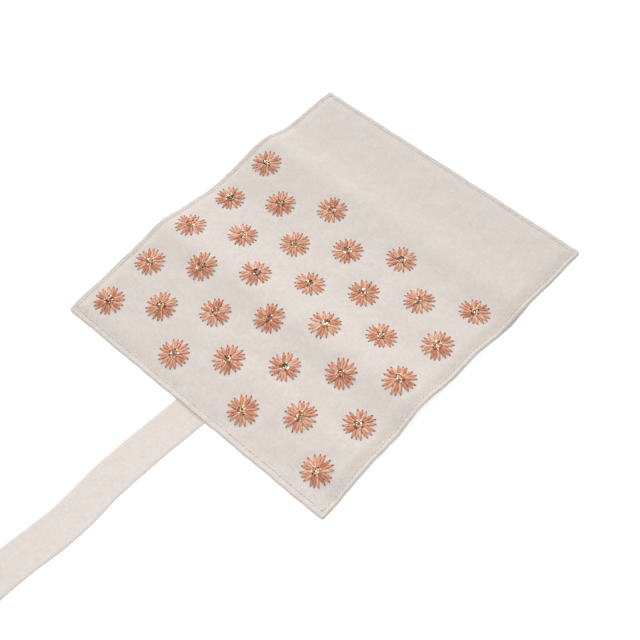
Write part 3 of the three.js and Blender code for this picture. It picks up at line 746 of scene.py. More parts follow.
def tone(tree, share, tones):
    """A colour chosen from a row of tones by a number from 0 to 1."""
    colour = add(tree, "ShaderNodeValToRGB", {"Fac": share})
    stops = colour.socket.node.color_ramp.elements
    for k in range(1, len(tones) - 1):
        stops.new(k / (len(tones) - 1))
    for stop, each in zip(stops, tones):
        stop.color = linear(each)
    return colour


def stored_value(tree, name):
    return add(tree, "ShaderNodeAttribute", out="Fac", attribute_name=name)


def grain(tree, scale, detail):
    """A fine noise on the piece's own place."""
    place = add(tree, "ShaderNodeTexCoord", out="Object")
    return add(tree, "ShaderNodeTexNoise", {"Vector": place, "Scale": scale, "Detail": detail})


def thread_material(name, tones, roughness=0.5, tip=None):
    """Thread whose shade is stored strand by strand. A tip is a colour that it takes on between
    two distances from the flower's middle."""
    material, tree = new_material(name)
    fibre = grain(tree, fibre_scale, 2)
    share = stored_value(tree, "shade").maths("ADD", (fibre - 0.5) * fibre_shade, use_clamp=True)
    colour = tone(tree, share, tones)
    if tip:
        tip_colour, start, end = tip
        towards = add(
            tree, "ShaderNodeMapRange",
            {"Value": stored_value(tree, "reach"), "From Min": start, "From Max": end},
            interpolation_type="SMOOTHSTEP",
        )
        colour = blended(tree, towards, colour, linear(tip_colour))
    bump = add(tree, "ShaderNodeBump", {"Height": fibre, "Strength": 0.6, "Distance": 0.06 * MM})
    fill_shader(tree, {
        "Base Color": colour, "Normal": bump, "Roughness": roughness, "Sheen Weight": 0.15,
        "Sheen Roughness": 0.4, "Specular IOR Level": 0.35,
    })
    return material


def metal_material(name, tones, roughness, vary=None):
    """Metal in tones from dark to light, chosen by a stored number or by its grain."""
    material, tree = new_material(name)
    scratches = grain(tree, scratch_scale, 3)
    share = stored_value(tree, vary) if vary else scratches
    fill_shader(tree, {
        "Base Color": tone(tree, share, tones), "Metallic": 1,
        "Roughness": scratches * scratch_roughness + roughness,
    })
    return material


petal_thread = thread_material(
    "petal thread", [(160, 80, 54), (222, 152, 118), (252, 226, 200)],
    tip=((224, 162, 132), 6.6 * MM, 9.0 * MM),
)
tip_thread = thread_material("petal tip thread", [(98, 72, 54), (192, 138, 110)])
ground_thread = thread_material("petal ground thread", [(178, 104, 74), (226, 156, 122)])
seam_thread = thread_material("seam thread", [(212, 202, 190), (240, 232, 224)], roughness=0.7)
# painted shade: a dark lens at each stitch stands for the shade in the needle's hole
painted_hole_shade = thread_material("painted needle-hole shade", [(190, 179, 168), (224, 215, 206)], roughness=0.9)
coil_plastic = thread_material("coil plastic", [(214, 204, 192), (232, 224, 214)], roughness=0.35)
# partly painted reflection: the darkest tone stands for dark reflections, the lightest for glints
bead_metal = metal_material(
    "bead metal", [(72, 44, 30), (146, 104, 74), (226, 190, 152), (255, 248, 234)], 0.18, vary="shade",
)
zip_brass = metal_material("zip brass", [(196, 158, 104), (224, 190, 138)], 0.2)
snap_brass = metal_material("snap brass", [(190, 172, 132), (222, 206, 168)], 0.22)
print("threads and metals made")

# %% [markdown]
# ## The folds
#
# The real cloth bends at two folds. A piece can bend at one joint here, so each layer is two
# pieces that meet where the middle panel is stiff, on the same line of points. A piece at a fold
# keeps its place in the frame, and a piece that doesn't reach a fold rides on one body. The
# table lists each fold's body, the part that moves and the two ends of the stretch where it
# bends.

# %% Folds
fold_stretches = {
    "tie_side": ("middle_panel", "tie_panel", Vector((0, -0.027, 0)), Vector((0, -0.065, 0))),
    "flap_side": ("middle_panel", "flap", Vector((0, 0.050, 0)), Vector((0, 0.080, 0))),
    "tie_bend": ("tie_panel", "tie", Vector((0, -0.1232, 0)), Vector((0, -0.131, 0))),
}
side_panels = {"tie_side": ("tie_panel", "middle"), "flap_side": ("middle", "flap")}
meeting_cut = 132 * MM


def panel_nodes(layer, side):
    return [f"{layer}_{panel}" for panel in side_panels[side]]


def assign(piece, moves_with, slot=None, *nodes):
    """Lets a piece ride on a body, or only bakes its transform where it is at a fold, and hides the
    CAD nodes that it stands for. The slot is not used."""
    if moves_with in fold_stretches:
        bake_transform(piece)
    else:
        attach(piece, moves_with)
    if nodes:
        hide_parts(*nodes)
    return piece


for name, (body, moving, start, end) in fold_stretches.items():
    print(f"{name}: {moving} bends over {(start - end).length / MM:.0f} mm")

# %% [markdown]
# ## The shell
#
# The shell is one cloth on the real roll. It is turned in round the outside, pressed flat, and
# topstitched close to its edge, so the rim is thinner than the rest and the cloth dips along
# the stitches. A sewing machine also draws the cloth together a little: it puckers along the
# stitches and round each flower. A bump in the material would do for the puckers, but not for
# the rim, which shows against the table. So all of it is in the height of one fine grid.

# %% Where the flowers are
flower_diameter = 20 * MM
flower_rows = 9
flowers_in_long_row = 4
first_flower_inset = 17 * MM
last_flower_inset = 21.1 * MM
first_row_inset = 20.2 * MM
flower_row_pitch = 18.16 * MM
flower_column_pitch = (roll_width - first_flower_inset - last_flower_inset) / (flowers_in_long_row - 1)


def flower_places(rows):
    """The centres of the flowers on the cut cloth: every other row has one fewer."""
    places = []
    for row in rows:
        short = row % 2
        for k in range(flowers_in_long_row - short):
            x = first_flower_inset - half_width + flower_column_pitch * (k + short / 2)
            places.append((x, first_row_inset + flower_row_pitch * row))
    return np.array(places)


all_flowers = flower_places(range(flower_rows))
print(len(all_flowers), "flowers")

# %% Heights of the shell
rim_drop = 0.6 * MM
rim_low = lining_thickness + 0.06 * MM
rim_point = rim_low + 0.12 * MM
edge_round = 0.5 * MM
stitch_valley, valley_width = 0.2 * MM, 1.9 * MM
stitch_groove, groove_width = 0.08 * MM, 0.5 * MM
seam_pucker, seam_pucker_width, seam_pucker_wave = 0.12 * MM, 3 * MM, 7 * MM
pucker_stretch = 3
flower_draw, flower_draw_width = 0.22 * MM, 2.2 * MM
large_unevenness, large_wave = 0.12 * MM, 22 * MM
small_unevenness, small_wave = 0.05 * MM, 9 * MM
allowance_rise = 0.7 * MM
tie_width = 25 * MM
tie_thickness = 0.9 * MM
tie_shoulder = 1.5 * MM
tie_fade = (8 * MM, 12 * MM)
tie_swell = 0.25 * MM


def from_edge(x, cut):
    """The distance from the edge, counted slower at the tie edge, where the hem is wider."""
    from_tie_edge = cut * topstitch_inset / tie_edge_stitch
    return np.minimum(from_sides(x), np.minimum(from_tie_edge, cut_length - cut))


def along_hem(x, cut):
    """A distance that grows round the outside of the roll, for what repeats along the hem."""
    return np.where(from_sides(x) < from_ends(cut), cut, x)


def flower_pucker(x, cut):
    """The cloth is drawn down in a ring where the petals end."""
    total = np.zeros(np.shape(x))
    for flower_x, flower_cut in all_flowers:
        away = np.hypot(x - flower_x, cut - flower_cut)
        total += bell(away - flower_diameter / 2, flower_draw_width)
    return total


def over_tie(x, cut):
    """1 over the tie's sewn end, 0 beside it."""
    beside = tie_width / 2 + tie_shoulder - np.abs(x - tie_offset)
    return ramp(beside, 0, tie_shoulder) * (1 - ramp(cut, *tie_fade))


def round_rim(height, edge):
    """Brings the upper and the under side together in a round edge."""
    edge_share = 1 - np.clip(edge / edge_round, 0, 1)
    return rim_point + (height - rim_point) * np.sqrt(1 - edge_share**2)


def shell_top(x, cut):
    edge = from_edge(x, cut)
    off_seam = edge - topstitch_inset
    height = shell_high - rim_drop * (1 - ramp(edge, topstitch_inset, hem_width))
    height = height - stitch_valley * bell(off_seam, valley_width)
    height = height - stitch_groove * bell(off_seam, groove_width)
    puckers = soft_noise(along_hem(x, cut), edge / pucker_stretch, seam_pucker_wave, seed=3)
    height = height + seam_pucker * bell(off_seam, seam_pucker_width) * puckers
    height = height - flower_draw * flower_pucker(x, cut)
    height = height + large_unevenness * soft_noise(x, cut, large_wave, seed=5)
    height = height + small_unevenness * soft_noise(x, cut, small_wave, seed=6)
    return round_rim(height + tie_swell * over_tie(x, cut), edge)


def shell_under(x, cut):
    edge = from_edge(x, cut)
    height = rim_low + (shell_low - rim_low) * ramp(edge, topstitch_inset + allowance_rise, hem_width)
    height = np.maximum(height, tape_low + (tie_thickness + layer_gap) * over_tie(x, cut))
    return round_rim(height, edge)


print(f"the shell's rim is {rim_point / MM:.2f} mm high, its middle {shell_high / MM:.2f} mm")

# %% The shell's two pieces
rim_lines = MM * np.array(
    [0, 0.04, 0.15, 0.33, 0.7, 1.2, 1.8, 2.3, 2.7, 2.95, 3.2, 3.45, 3.7, 4.2, 5, 6, 7.2, 8.6, 10]
)
tie_rim_lines = rim_lines * tie_edge_stitch / topstitch_inset
cloth_step = 1.05 * MM
shell_cuts = {
    "tie_side": merged_lines(tie_rim_lines, even_lines(tie_rim_lines[-1], meeting_cut, cloth_step)),
    "flap_side": merged_lines(
        even_lines(meeting_cut, cut_length - hem_width, cloth_step), cut_length - rim_lines,
    ),
}
shell_xs = merged_lines(
    rim_lines - half_width, half_width - rim_lines,
    even_lines(hem_width - half_width, half_width - hem_width, cloth_step),
)
for side, cuts in shell_cuts.items():
    piece = cloth_layer(f"shell_{side}", shell_xs, cuts, shell_under, shell_top, shell_cloth)
    assign(piece, side, "shell_cloth", *panel_nodes("shell", side))

# %% [markdown]
# ## The daisies
#
# Each flower is embroidered in one run of a machine: eighteen petals in six groups of three,
# long satin stitches from the middle out over a darker ground stitch, a short dark stitch at
# each tip, and a knot of small beads sewn over the middle. All flowers are alike and face the
# same way. Copies of one finished flower would also copy its every thread, which looks printed.
# So one tree makes them all from their centres: it copies each centre once for every strand of
# thread, finds the strand's petal from the copy's number, and turns a line into a thin tube.
# The tips and the ground are the same tree with other numbers.

# %% The petal tree
petals_in_flower = 18
petals_in_group = 3
group_turn = math.radians(60)
petal_turn = math.radians(17)
start_turn = math.radians(0.4)
petal_sway = 0.035
petal_lengths = (0.965, 1.02)
petal_shades = 0.46
strand_shades = 0.2
# painted highlight: the strands on a petal's crest are lighter than those at its sides
painted_crest_highlight = 0.9
strand_lift = 0.08 * MM
blunt_end = 0.35
start_fullness = 0.5
narrowest = 0.4
tip_narrowing = -0.12
crown_lean = 0.75
roundness = 2.4


def build_petal_tree():
    tree, given, made = new_group(
        "petal strands", "GeometryNodeTree",
        {
            "Centres": "NodeSocketGeometry", "Strands": 6, "Inner Radius": 1.5 * MM,
            "Outer Radius": 9.35 * MM, "Petal Width": 1.68 * MM, "Thread": 0.35 * MM,
            "Rise": 0.55 * MM, "Full From": 0.3, "Steps": 8, "Seed": 1, "Material": petal_thread,
        },
        {"Geometry": "NodeSocketGeometry"},
    )
    copies, number = copied(tree, given["Centres"], given["Strands"] * petals_in_flower)
    index = add(tree, "GeometryNodeInputIndex")
    petal_seed = (index / given["Strands"]).maths("FLOOR")

    # Each strand's own values: its petal's direction, its place across it, its end and its shade,
    # which is uneven dye and painted sheen, with a painted highlight on the petal's crest
    petal = (number / given["Strands"]).maths("FLOOR")
    strand = number % given["Strands"]
    angle = (petal / petals_in_group).maths("FLOOR") * group_turn
    angle = angle + (petal % petals_in_group - 1.0) * petal_turn + start_turn
    angle = angle + scatter(tree, -petal_sway, petal_sway, given["Seed"] + 1, petal_seed)
    last = (given["Strands"] - 1.0).maths("MAXIMUM", 1.0)
    across = (strand / last - 0.5) * given["Petal Width"]
    off_middle = across.maths("ABSOLUTE")
    outer = given["Outer Radius"] * scatter(tree, *petal_lengths, given["Seed"] + 2, petal_seed)
    dye_and_sheen = scatter(tree, 0.0, petal_shades, given["Seed"] + 3, petal_seed)
    dye_and_sheen = dye_and_sheen + scatter(tree, 0.0, strand_shades, given["Seed"] + 4, index)
    kept = {
        "angle": angle, "across": across, "outer": outer - off_middle * blunt_end,
        "shade": dye_and_sheen + (0.5 - off_middle / given["Petal Width"]) * painted_crest_highlight,
        "lift": scatter(tree, -strand_lift, strand_lift, given["Seed"] + 5, index),
    }
    line = add(tree, "GeometryNodeCurvePrimitiveLine", {"Start": (0, 0, 0), "End": (1, 0, 0)})
    line = add(tree, "GeometryNodeResampleCurve", {"Curve": line, "Count": given["Steps"]})
    placed = add(
        tree, "GeometryNodeInstanceOnPoints", {"Points": copies, "Instance": line, "Scale": (0, 0, 0)},
    )
    for label, value in kept.items():
        placed = keep(tree, placed, label, value)
    strands = add(tree, "GeometryNodeRealizeInstances", {"Geometry": placed})

    def stored(label):
        return add(tree, "GeometryNodeInputNamedAttribute", {"Name": label}, data_type="FLOAT")

    # Each point's own place: along the petal, across it and above the cloth
    share = add(tree, "GeometryNodeSplineParameter")
    radius = share * (stored("outer") - given["Inner Radius"]) + given["Inner Radius"]
    full = (share / given["Full From"]).maths("ADD", start_fullness, use_clamp=True)
    widening = full * (1 - narrowest) + narrowest + share**12.0 * tip_narrowing
    sideways = stored("across") * widening
    crown = (share**crown_lean * math.pi).maths("SINE")
    flat_share = stored("across") / given["Petal Width"]
    height = crown * given["Rise"] * (1.0 - flat_share * flat_share * roundness)
    height = height + stored("lift")
    cosine, sine = stored("angle").maths("COSINE"), stored("angle").maths("SINE")
    offset = vector(tree, radius * cosine - sideways * sine, radius * sine + sideways * cosine, height)
    strands = keep(tree, strands, "reach", radius, domain="POINT")
    laid = add(tree, "GeometryNodeSetPosition", {"Geometry": strands, "Offset": offset})
    tubes = made_real(tree, tube(tree, laid, given["Thread"], sides=5))
    fill(tree, made["Geometry"], coloured(tree, tubes, given["Material"]))
    return tree


petal_tree = build_petal_tree()
print("petal tree:", len(petal_tree.nodes), "nodes")

# %% [markdown]
# The knot in the middle is a little heap of cut beads: one on top, six round it and ten round
# those. Each bead takes a tone at random, from dark bronze through copper and champagne to near
# white: partly the beads' own mix of colours, and partly painted reflection, the darkest tones
# standing for dark reflections and the lightest for glints. This makes the middle glitter at
# any size. One rough lump would be less work, but it has no glitter. The beads have few faces
# and no smoothing, so each face catches the light for itself.

# %% The bead tree
bead_layer = 0.3 * MM
bead_stray, ring_stray = 0.14, 0.7
bead_shape = (1, 1, 0.78)
bead_sizes = (0.88, 1.08)
bead_tilt = 0.7


def build_bead_tree():
    tree, given, made = new_group(
        "bead knots", "GeometryNodeTree",
        {
            "Centres": "NodeSocketGeometry", "Round": 6, "Outer Round": 10, "Bead": 1.35 * MM,
            "Ring Radius": 1.36 * MM, "Height": 0.5 * MM, "Seed": 7, "Material": bead_metal,
        },
        {"Geometry": "NodeSocketGeometry"},
    )
    inner, outer = given["Round"], given["Outer Round"]
    copies, number = copied(tree, given["Centres"], inner + outer + 1.0)
    off_top = number.maths("MINIMUM", 1.0)
    in_outer = number.maths("GREATER_THAN", inner)
    ring_number = off_top + in_outer
    index = add(tree, "GeometryNodeInputIndex")
    stray = scatter(tree, -bead_stray, bead_stray, given["Seed"] + 3.0, index)
    angle = number * full_turn / (inner + in_outer * (outer - inner)) + stray
    radius = (ring_number + stray * ring_stray) * off_top * given["Ring Radius"]
    z = (2.0 - ring_number) * bead_layer + given["Height"] + given["Bead"] / 3.0
    offset = vector(tree, radius * angle.maths("COSINE"), radius * angle.maths("SINE"), z)
    moved = add(tree, "GeometryNodeSetPosition", {"Geometry": copies, "Offset": offset})
    ball = add(tree, "GeometryNodeMeshIcoSphere", {"Radius": given["Bead"] / 2.0, "Subdivisions": 1})
    ball = add(tree, "GeometryNodeTransform", {"Geometry": ball, "Scale": bead_shape})
    turn = add(
        tree, "FunctionNodeRandomValue",
        {0: (-bead_tilt, -bead_tilt, 0), 1: (bead_tilt, bead_tilt, full_turn), "Seed": given["Seed"]},
        data_type="FLOAT_VECTOR",
    )
    placed = add(
        tree, "GeometryNodeInstanceOnPoints",
        {
            "Points": moved, "Instance": ball, "Rotation": turn,
            "Scale": scatter(tree, *bead_sizes, given["Seed"] + 1.0),
        },
    )
    # each bead's tone: its own colour, and partly painted reflection
    placed = keep(tree, placed, "shade", scatter(tree, 0.0, 1.0, given["Seed"] + 2.0))
    beads = made_real(tree, placed, smooth=False)
    fill(tree, made["Geometry"], coloured(tree, beads, given["Material"]))
    return tree


bead_tree = build_bead_tree()
print("bead tree:", len(bead_tree.nodes), "nodes")

# %% The flowers on the cloth
flower_sides = {"tie_side": range(0, 6), "flap_side": range(6, flower_rows)}
ground_settings = {
    "Strands": 7, "Inner Radius": 1.5 * MM, "Outer Radius": 6.6 * MM, "Petal Width": 2.2 * MM,
    "Thread": 0.4 * MM, "Rise": 0.25 * MM, "Steps": 5, "Seed": 30, "Material": ground_thread,
}
tip_settings = {
    "Strands": 3, "Inner Radius": 9.0 * MM, "Outer Radius": 10.2 * MM, "Petal Width": 0.5 * MM,
    "Thread": 0.44 * MM, "Rise": 0.3 * MM, "Steps": 5, "Material": tip_thread,
}
flower_parts = {
    "petals": (petal_tree, {}), "petal_ground": (petal_tree, ground_settings),
    "petal_tips": (petal_tree, tip_settings), "bead_knots": (bead_tree, {}),
}


def centres_mesh(places):
    mesh = bpy.data.meshes.new("flower_centres")
    mesh.from_pydata([(x, cut, 0) for x, cut in places], [], [])
    return mesh


def flower_nodes(rows):
    return [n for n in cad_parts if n.startswith("flower_") and int(n.split("_")[1]) - 1 in rows]


for side, rows in flower_sides.items():
    for part, (tree, settings) in flower_parts.items():
        name = f"daisy_{part}_{side}"
        flat = grow(tree, name, centres_mesh(flower_places(rows)), settings)
        piece = link(name, lay_on_cloth(flat, shell_top))
        if part == "petals":
            assign(piece, side, "embroidery_thread", *flower_nodes(rows))
        else:
            assign(piece, side)
        print(f"{name}: {len(piece.data.polygons)} faces")

# %% [markdown]
# ## The topstitch
#
# A lockstitch shows a row of short, slightly arched threads, each end going down into a hole
# that the needle made, and each a little aslant. Hundreds of them by hand would be work for
# nothing. A tree walks along a line, drops an arch and a small dark lens at every stitch, which
# is painted shade for the hole, and turns them along the line. The same tree sews the hem from
# both sides, and the zips into the lining.

# %% The stitch tree
shade_lens_shape = (1, 0.7, 0.16)
stitch_shades = (0.2, 0.8)


def build_stitch_tree():
    tree, given, made = new_group(
        "row of stitches", "GeometryNodeTree",
        {
            "Seam": "NodeSocketGeometry", "Pitch": 2.7 * MM, "Stitch": 2.0 * MM, "Thread": 0.5 * MM,
            "Arch": 0.36 * MM, "Sink": 0.3 * MM, "Slant": math.radians(12), "Hole": 0.55 * MM,
            "Material": seam_thread, "Hole Shade Material": painted_hole_shade,
        },
        {"Geometry": "NodeSocketGeometry"},
    )
    half, down = given["Stitch"] / 2.0, -given["Sink"]
    start, end = vector(tree, x=-half, z=down), vector(tree, x=half, z=down)
    above = vector(tree, z=given["Arch"] * 2.0)
    stitch = bent_tube(tree, start, above, end, steps=6, thickness=given["Thread"])
    stitch = coloured(tree, stitch, given["Material"])
    slant = vector(tree, z=given["Slant"])
    stitch = add(tree, "GeometryNodeTransform", {"Geometry": stitch, "Rotation": slant})
    # a small dark lens between stitches, painted shade for the hole where the thread goes in
    shade_lens = add(tree, "GeometryNodeMeshUVSphere", {"Segments": 10, "Rings": 5, "Radius": given["Hole"]})
    aside = vector(tree, x=given["Pitch"] * 0.5)
    shade_lens = add(
        tree, "GeometryNodeTransform", {"Geometry": shade_lens, "Translation": aside, "Scale": shade_lens_shape},
    )
    shade_lens = coloured(tree, shade_lens, given["Hole Shade Material"])
    both = add(tree, "GeometryNodeJoinGeometry", {"Geometry": [stitch, shade_lens]})
    turn = add(
        tree, "FunctionNodeAxesToRotation",
        {"Primary Axis": (0, 0, 1), "Secondary Axis": add(tree, "GeometryNodeInputTangent")},
    )
    placed = add(
        tree, "GeometryNodeInstanceOnPoints",
        {"Points": points_along(tree, given["Seam"], given["Pitch"]), "Instance": both, "Rotation": turn},
    )
    placed = keep(tree, placed, "shade", scatter(tree, *stitch_shades, seed=3))
    fill(tree, made["Geometry"], made_real(tree, placed))
    return tree


stitch_tree = build_stitch_tree()
print("stitch tree:", len(stitch_tree.nodes), "nodes")


def seam_mesh(line, closed=False):
    """A flat seam as points and edges, from a list of x and cut."""
    edges = [(k, k + 1) for k in range(len(line) - 1)]
    if closed:
        edges.append((len(line) - 1, 0))
    mesh = bpy.data.meshes.new("seam")
    mesh.from_pydata([(x, cut, 0) for x, cut in line], edges, [])
    return mesh


def sew(name, seam, base_at, side=1, **settings):
    return link(name, lay_on_cloth(grow(stitch_tree, name, seam, settings), base_at, side))


def under_lining(x, cut):
    return np.zeros(np.shape(x))


# %% The hem's topstitch, from above and below
stitch_x = half_width - topstitch_inset
seam_gap = 1.5 * MM
seam_ends = {
    "tie_side": (meeting_cut - seam_gap, tie_edge_stitch),
    "flap_side": (meeting_cut + seam_gap, cut_length - topstitch_inset),
}
for side, (first, last) in seam_ends.items():
    seam = [(-stitch_x, first), (-stitch_x, last), (stitch_x, last), (stitch_x, first)]
    upper = sew(f"topstitch_{side}", seam_mesh(seam), shell_top)
    under = sew(
        f"lining_stitch_{side}", seam_mesh(seam), under_lining, -1, Arch=0.1 * MM, Thread=0.4 * MM,
    )
    for piece in (upper, under):
        assign(piece, side, "shell_cloth")
    print(f"{upper.name}: {len(upper.data.polygons)} faces")

# %% [markdown]
# ## The lining and what lies inside
#
# The lining is plain cloth, with a slot for each zip. Its outer edge is turned under and lies
# just inside the shell's, but for the right side near the flap's fold, where it has slipped out
# by a millimetre. Behind it are the pocket backs and a felted interlining, which gives the roll
# its body. The lining could be the shell once more, turned over, but its slots, its slip and its
# flat rim are its own. So the same function makes it from its own heights.

# %% The lining's heights
lining_inset = 0.3 * MM
slip_out = 1.3 * MM
slip_place = 178 * MM
slip_reach = 14 * MM
lining_ripple, ripple_wave = 0.06 * MM, 11 * MM
zip_inset = 20 * MM
zip_length = roll_width - 2 * zip_inset
zip_slot = 8 * MM
zip_cuts = {"tie_panel": tie_panel_length - 33.85 * MM, "middle": tie_panel_length + 20.3 * MM}
slot_round = 0.25 * MM


def from_slots(x, cut):
    """The distance to the nearest zip slot, nothing or less inside one."""
    beyond_end = np.abs(x) - zip_length / 2
    beyond = [np.maximum(beyond_end, np.abs(cut - z) - zip_slot / 2) for z in zip_cuts.values()]
    return np.min(beyond, axis=0)


def in_slot(x, cut):
    return from_slots(x, cut) < 0


def lining_share(x, cut):
    edge = np.minimum(from_edge(x, cut) - lining_inset, from_slots(x, cut))
    return np.sqrt(1 - (1 - np.clip(edge / slot_round, 0, 1)) ** 2)


def lining_top(x, cut):
    return lining_thickness / 2 * (1 + lining_share(x, cut))


def lining_under(x, cut):
    ripple = lining_ripple * (1 + soft_noise(x, cut, ripple_wave, seed=9))
    return lining_thickness / 2 - (lining_thickness / 2 - ripple) * lining_share(x, cut)


def slipped_lining(x, cut):
    """The lining's edge shows past the shell's on the right, where the flap folds."""
    slip = slip_out * bell(cut - slip_place, slip_reach) * (x > 0)
    return x + slip * (1 - ramp(from_sides(x), 0, hem_width)), cut


print(f"zip slots {zip_length / MM:.0f} x {zip_slot / MM:.0f} mm")

# %% The lining's two pieces
fine_rim = np.array([0, 0.05, 0.12, 0.25]) * MM
lining_rim = merged_lines(fine_rim + lining_inset, rim_lines[rim_lines > 1.5 * MM])
lining_step = 1.8 * MM
slot_rim = np.append(fine_rim, MM)
slot_ends = np.concatenate([zip_length / 2 + slot_rim, -zip_length / 2 - slot_rim])
slot_cuts = [z + way * (zip_slot / 2 + slot_rim) for z in zip_cuts.values() for way in (-1, 1)]
lining_xs = merged_lines(
    lining_rim - half_width, half_width - lining_rim, slot_ends,
    even_lines(hem_width - half_width, half_width - hem_width, lining_step),
)
lining_cuts = {
    "tie_side": merged_lines(lining_rim, *slot_cuts, even_lines(hem_width, meeting_cut, lining_step)),
    "flap_side": merged_lines(
        even_lines(meeting_cut, cut_length - hem_width, lining_step), cut_length - lining_rim,
    ),
}
for side, cuts in lining_cuts.items():
    piece = cloth_layer(
        f"lining_{side}", lining_xs, cuts, lining_under, lining_top, lining_cloth,
        is_open=in_slot, slip=slipped_lining,
    )
    assign(piece, side, "lining_cloth", *panel_nodes("lining", side))

# %% The interlining and the pocket backs
inner_edge = hem_width + layer_gap
inner_width = roll_width - 2 * inner_edge
hidden_step = 3 * MM
tape_width = 22 * MM
pocket_end = tie_panel_length + middle_panel_length - 0.2 * MM


def level(height):
    return lambda x, cut: np.full(np.shape(x), height)


def hidden_layer(name, span, low, high, material):
    xs = even_lines(-inner_width / 2, inner_width / 2, hidden_step)
    return cloth_layer(name, xs, even_lines(*span, hidden_step), level(low), level(high), material)


interlining_spans = {
    "tie_side": (inner_edge, meeting_cut), "flap_side": (meeting_cut, cut_length - inner_edge),
}
for side, span in interlining_spans.items():
    piece = hidden_layer(f"interlining_{side}", span, interlining_low, interlining_high, felt)
    assign(piece, side, "interlining", *panel_nodes("interlining", side))
    span[1] - span[0]

pockets = {
    "tie_panel": ("tie_panel", (inner_edge, zip_cuts["tie_panel"] + tape_width / 2)),
    "middle": ("flap_side", (zip_cuts["middle"] - tape_width / 2, pocket_end)),
}
for panel, (moves_with, span) in pockets.items():
    piece = hidden_layer(f"pocket_back_cloth_{panel}", span, pocket_low, pocket_high, pocket_cloth)
    assign(piece, moves_with, "pocket_cloth", f"pocket_back_{panel}")
    span[1] - span[0]

# %% [markdown]
# ## The zips
#
# Each pocket closes with a coil zip: a woven tape behind the slot, and along its middle two
# rows of loops that grip each other. It could be one long spiral, but where two spirals mesh
# only their loops are seen. So a loop is a short bent tube, and the two rows are one line of
# them, turned to face the other way every time.

# %% The tooth tree
tooth_feet = (1.0, -0.35)
tooth_crest = 0.45


def build_tooth_tree():
    tree, given, made = new_group(
        "coil teeth", "GeometryNodeTree",
        {
            "Line": "NodeSocketGeometry", "Pitch": 0.62 * MM, "Reach": 1.66 * MM, "Wire": 0.5 * MM,
            "Arch": 0.5 * MM, "Foot Height": -0.1 * MM, "Material": coil_plastic,
        },
        {"Geometry": "NodeSocketGeometry"},
    )
    reach = given["Reach"]
    start, end = (vector(tree, y=reach * share, z=given["Foot Height"]) for share in tooth_feet)
    middle = vector(tree, y=reach * tooth_crest, z=given["Arch"] * 2.0)
    tooth = bent_tube(tree, start, middle, end, steps=5, thickness=given["Wire"])
    every_other = add(tree, "GeometryNodeInputIndex").maths("MODULO", 2.0)
    placed = add(
        tree, "GeometryNodeInstanceOnPoints",
        {
            "Points": points_along(tree, given["Line"], given["Pitch"]), "Instance": tooth,
            "Rotation": vector(tree, z=every_other * math.pi),
        },
    )
    fill(tree, made["Geometry"], coloured(tree, made_real(tree, placed), given["Material"]))
    return tree


tooth_tree = build_tooth_tree()
print("tooth tree:", len(tooth_tree.nodes), "nodes")

# %% Tapes, teeth and the seams round them
coil_height = 1.2 * MM
coil_middle = tape_low - layer_gap - coil_height / 2
tape_overhang = 7 * MM
tape_length = zip_length + 2 * tape_overhang
zip_seam_x = zip_length / 2 + 2 * MM
zip_seam_gap = zip_slot / 2 + 1.6 * MM
zip_bodies = {"tie_panel": "tie_panel", "middle": "middle_panel"}
tape_xs = even_lines(-tape_length / 2, tape_length / 2, 2 * MM)
for panel, zip_cut in zip_cuts.items():
    tape_lines = even_lines(zip_cut - tape_width / 2, zip_cut + tape_width / 2, MM)
    tape = cloth_layer(
        f"zip_tape_cloth_{panel}", tape_xs, tape_lines, level(tape_low), level(tape_high), tape_cloth,
    )
    assign(tape, zip_bodies[panel], "zip_tape", f"zip_tape_{panel}")
    name = f"zip_teeth_{panel}"
    ends = [(x, zip_cut) for x in even_lines(layer_gap - zip_length / 2, zip_length / 2 - layer_gap, MM)]
    teeth = grow(tooth_tree, name, seam_mesh(ends), {})
    coil = link(name, lay_on_cloth(teeth, level(coil_middle), -1))
    assign(coil, zip_bodies[panel], "zip_coil", f"zip_coil_{panel}")
    box = [(-zip_seam_x, zip_cut - zip_seam_gap), (zip_seam_x, zip_cut - zip_seam_gap),
           (zip_seam_x, zip_cut + zip_seam_gap), (-zip_seam_x, zip_cut + zip_seam_gap)]
    seam = sew(
        f"zip_stitch_{panel}", seam_mesh(box, closed=True), under_lining, -1,
        Arch=0.12 * MM, Thread=0.35 * MM, Pitch=2.4 * MM, Stitch=2 * MM,
    )
    assign(seam, "tie_side", "lining_cloth")
    print(f"{coil.name}: {len(coil.data.polygons)} faces")

# %% [markdown]
# The slider and the pull are cast and stamped metal, and the CAD model has their real shape. A
# copy of each is merged and its edges are broken a little, which is what makes metal look like
# metal: a sharp edge shows no highlight.

# %% Sliders and pulls
def broken_edges(name, node, width):
    """A copy of a CAD node with its edges rounded."""
    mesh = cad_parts[node].data.copy()
    with edited(mesh) as work:
        bmesh.ops.remove_doubles(work, verts=work.verts, dist=0.01 * MM)
        bmesh.ops.dissolve_limit(work, angle_limit=math.radians(2), verts=work.verts, edges=work.edges)
    mesh.materials.clear()
    mesh.materials.append(zip_brass)
    mesh.polygons.foreach_set("use_smooth", [True] * len(mesh.polygons))
    piece = link(name, mesh)
    bevel = piece.modifiers.new("broken edges", "BEVEL")
    bevel.width = width
    bevel.segments = 3
    bevel.limit_method = "ANGLE"
    bevel.angle_limit = math.radians(30)
    bevel.harden_normals = True
    return piece


for panel in zip_cuts:
    for part, width in {"slider": 0.18 * MM, "pull": 0.16 * MM}.items():
        node = f"zip_{part}_{panel}"
        assign(broken_edges(f"{part}_{panel}", node, width), f"{panel}_zip_{part}", "zip_metal", node)
print("sliders and pulls finished")

# %% [markdown]
# ## The ring bar
#
# Rings are threaded on a stuffed roll of lining cloth. It is sewn down at one end and snaps to
# the panel at the other. A tube with squeezed ends would keep its girth and show no gathers.
# The cover is a loft of ovals instead, which narrows into a flat tab at each end, with small
# pleats where the fullness is taken up.

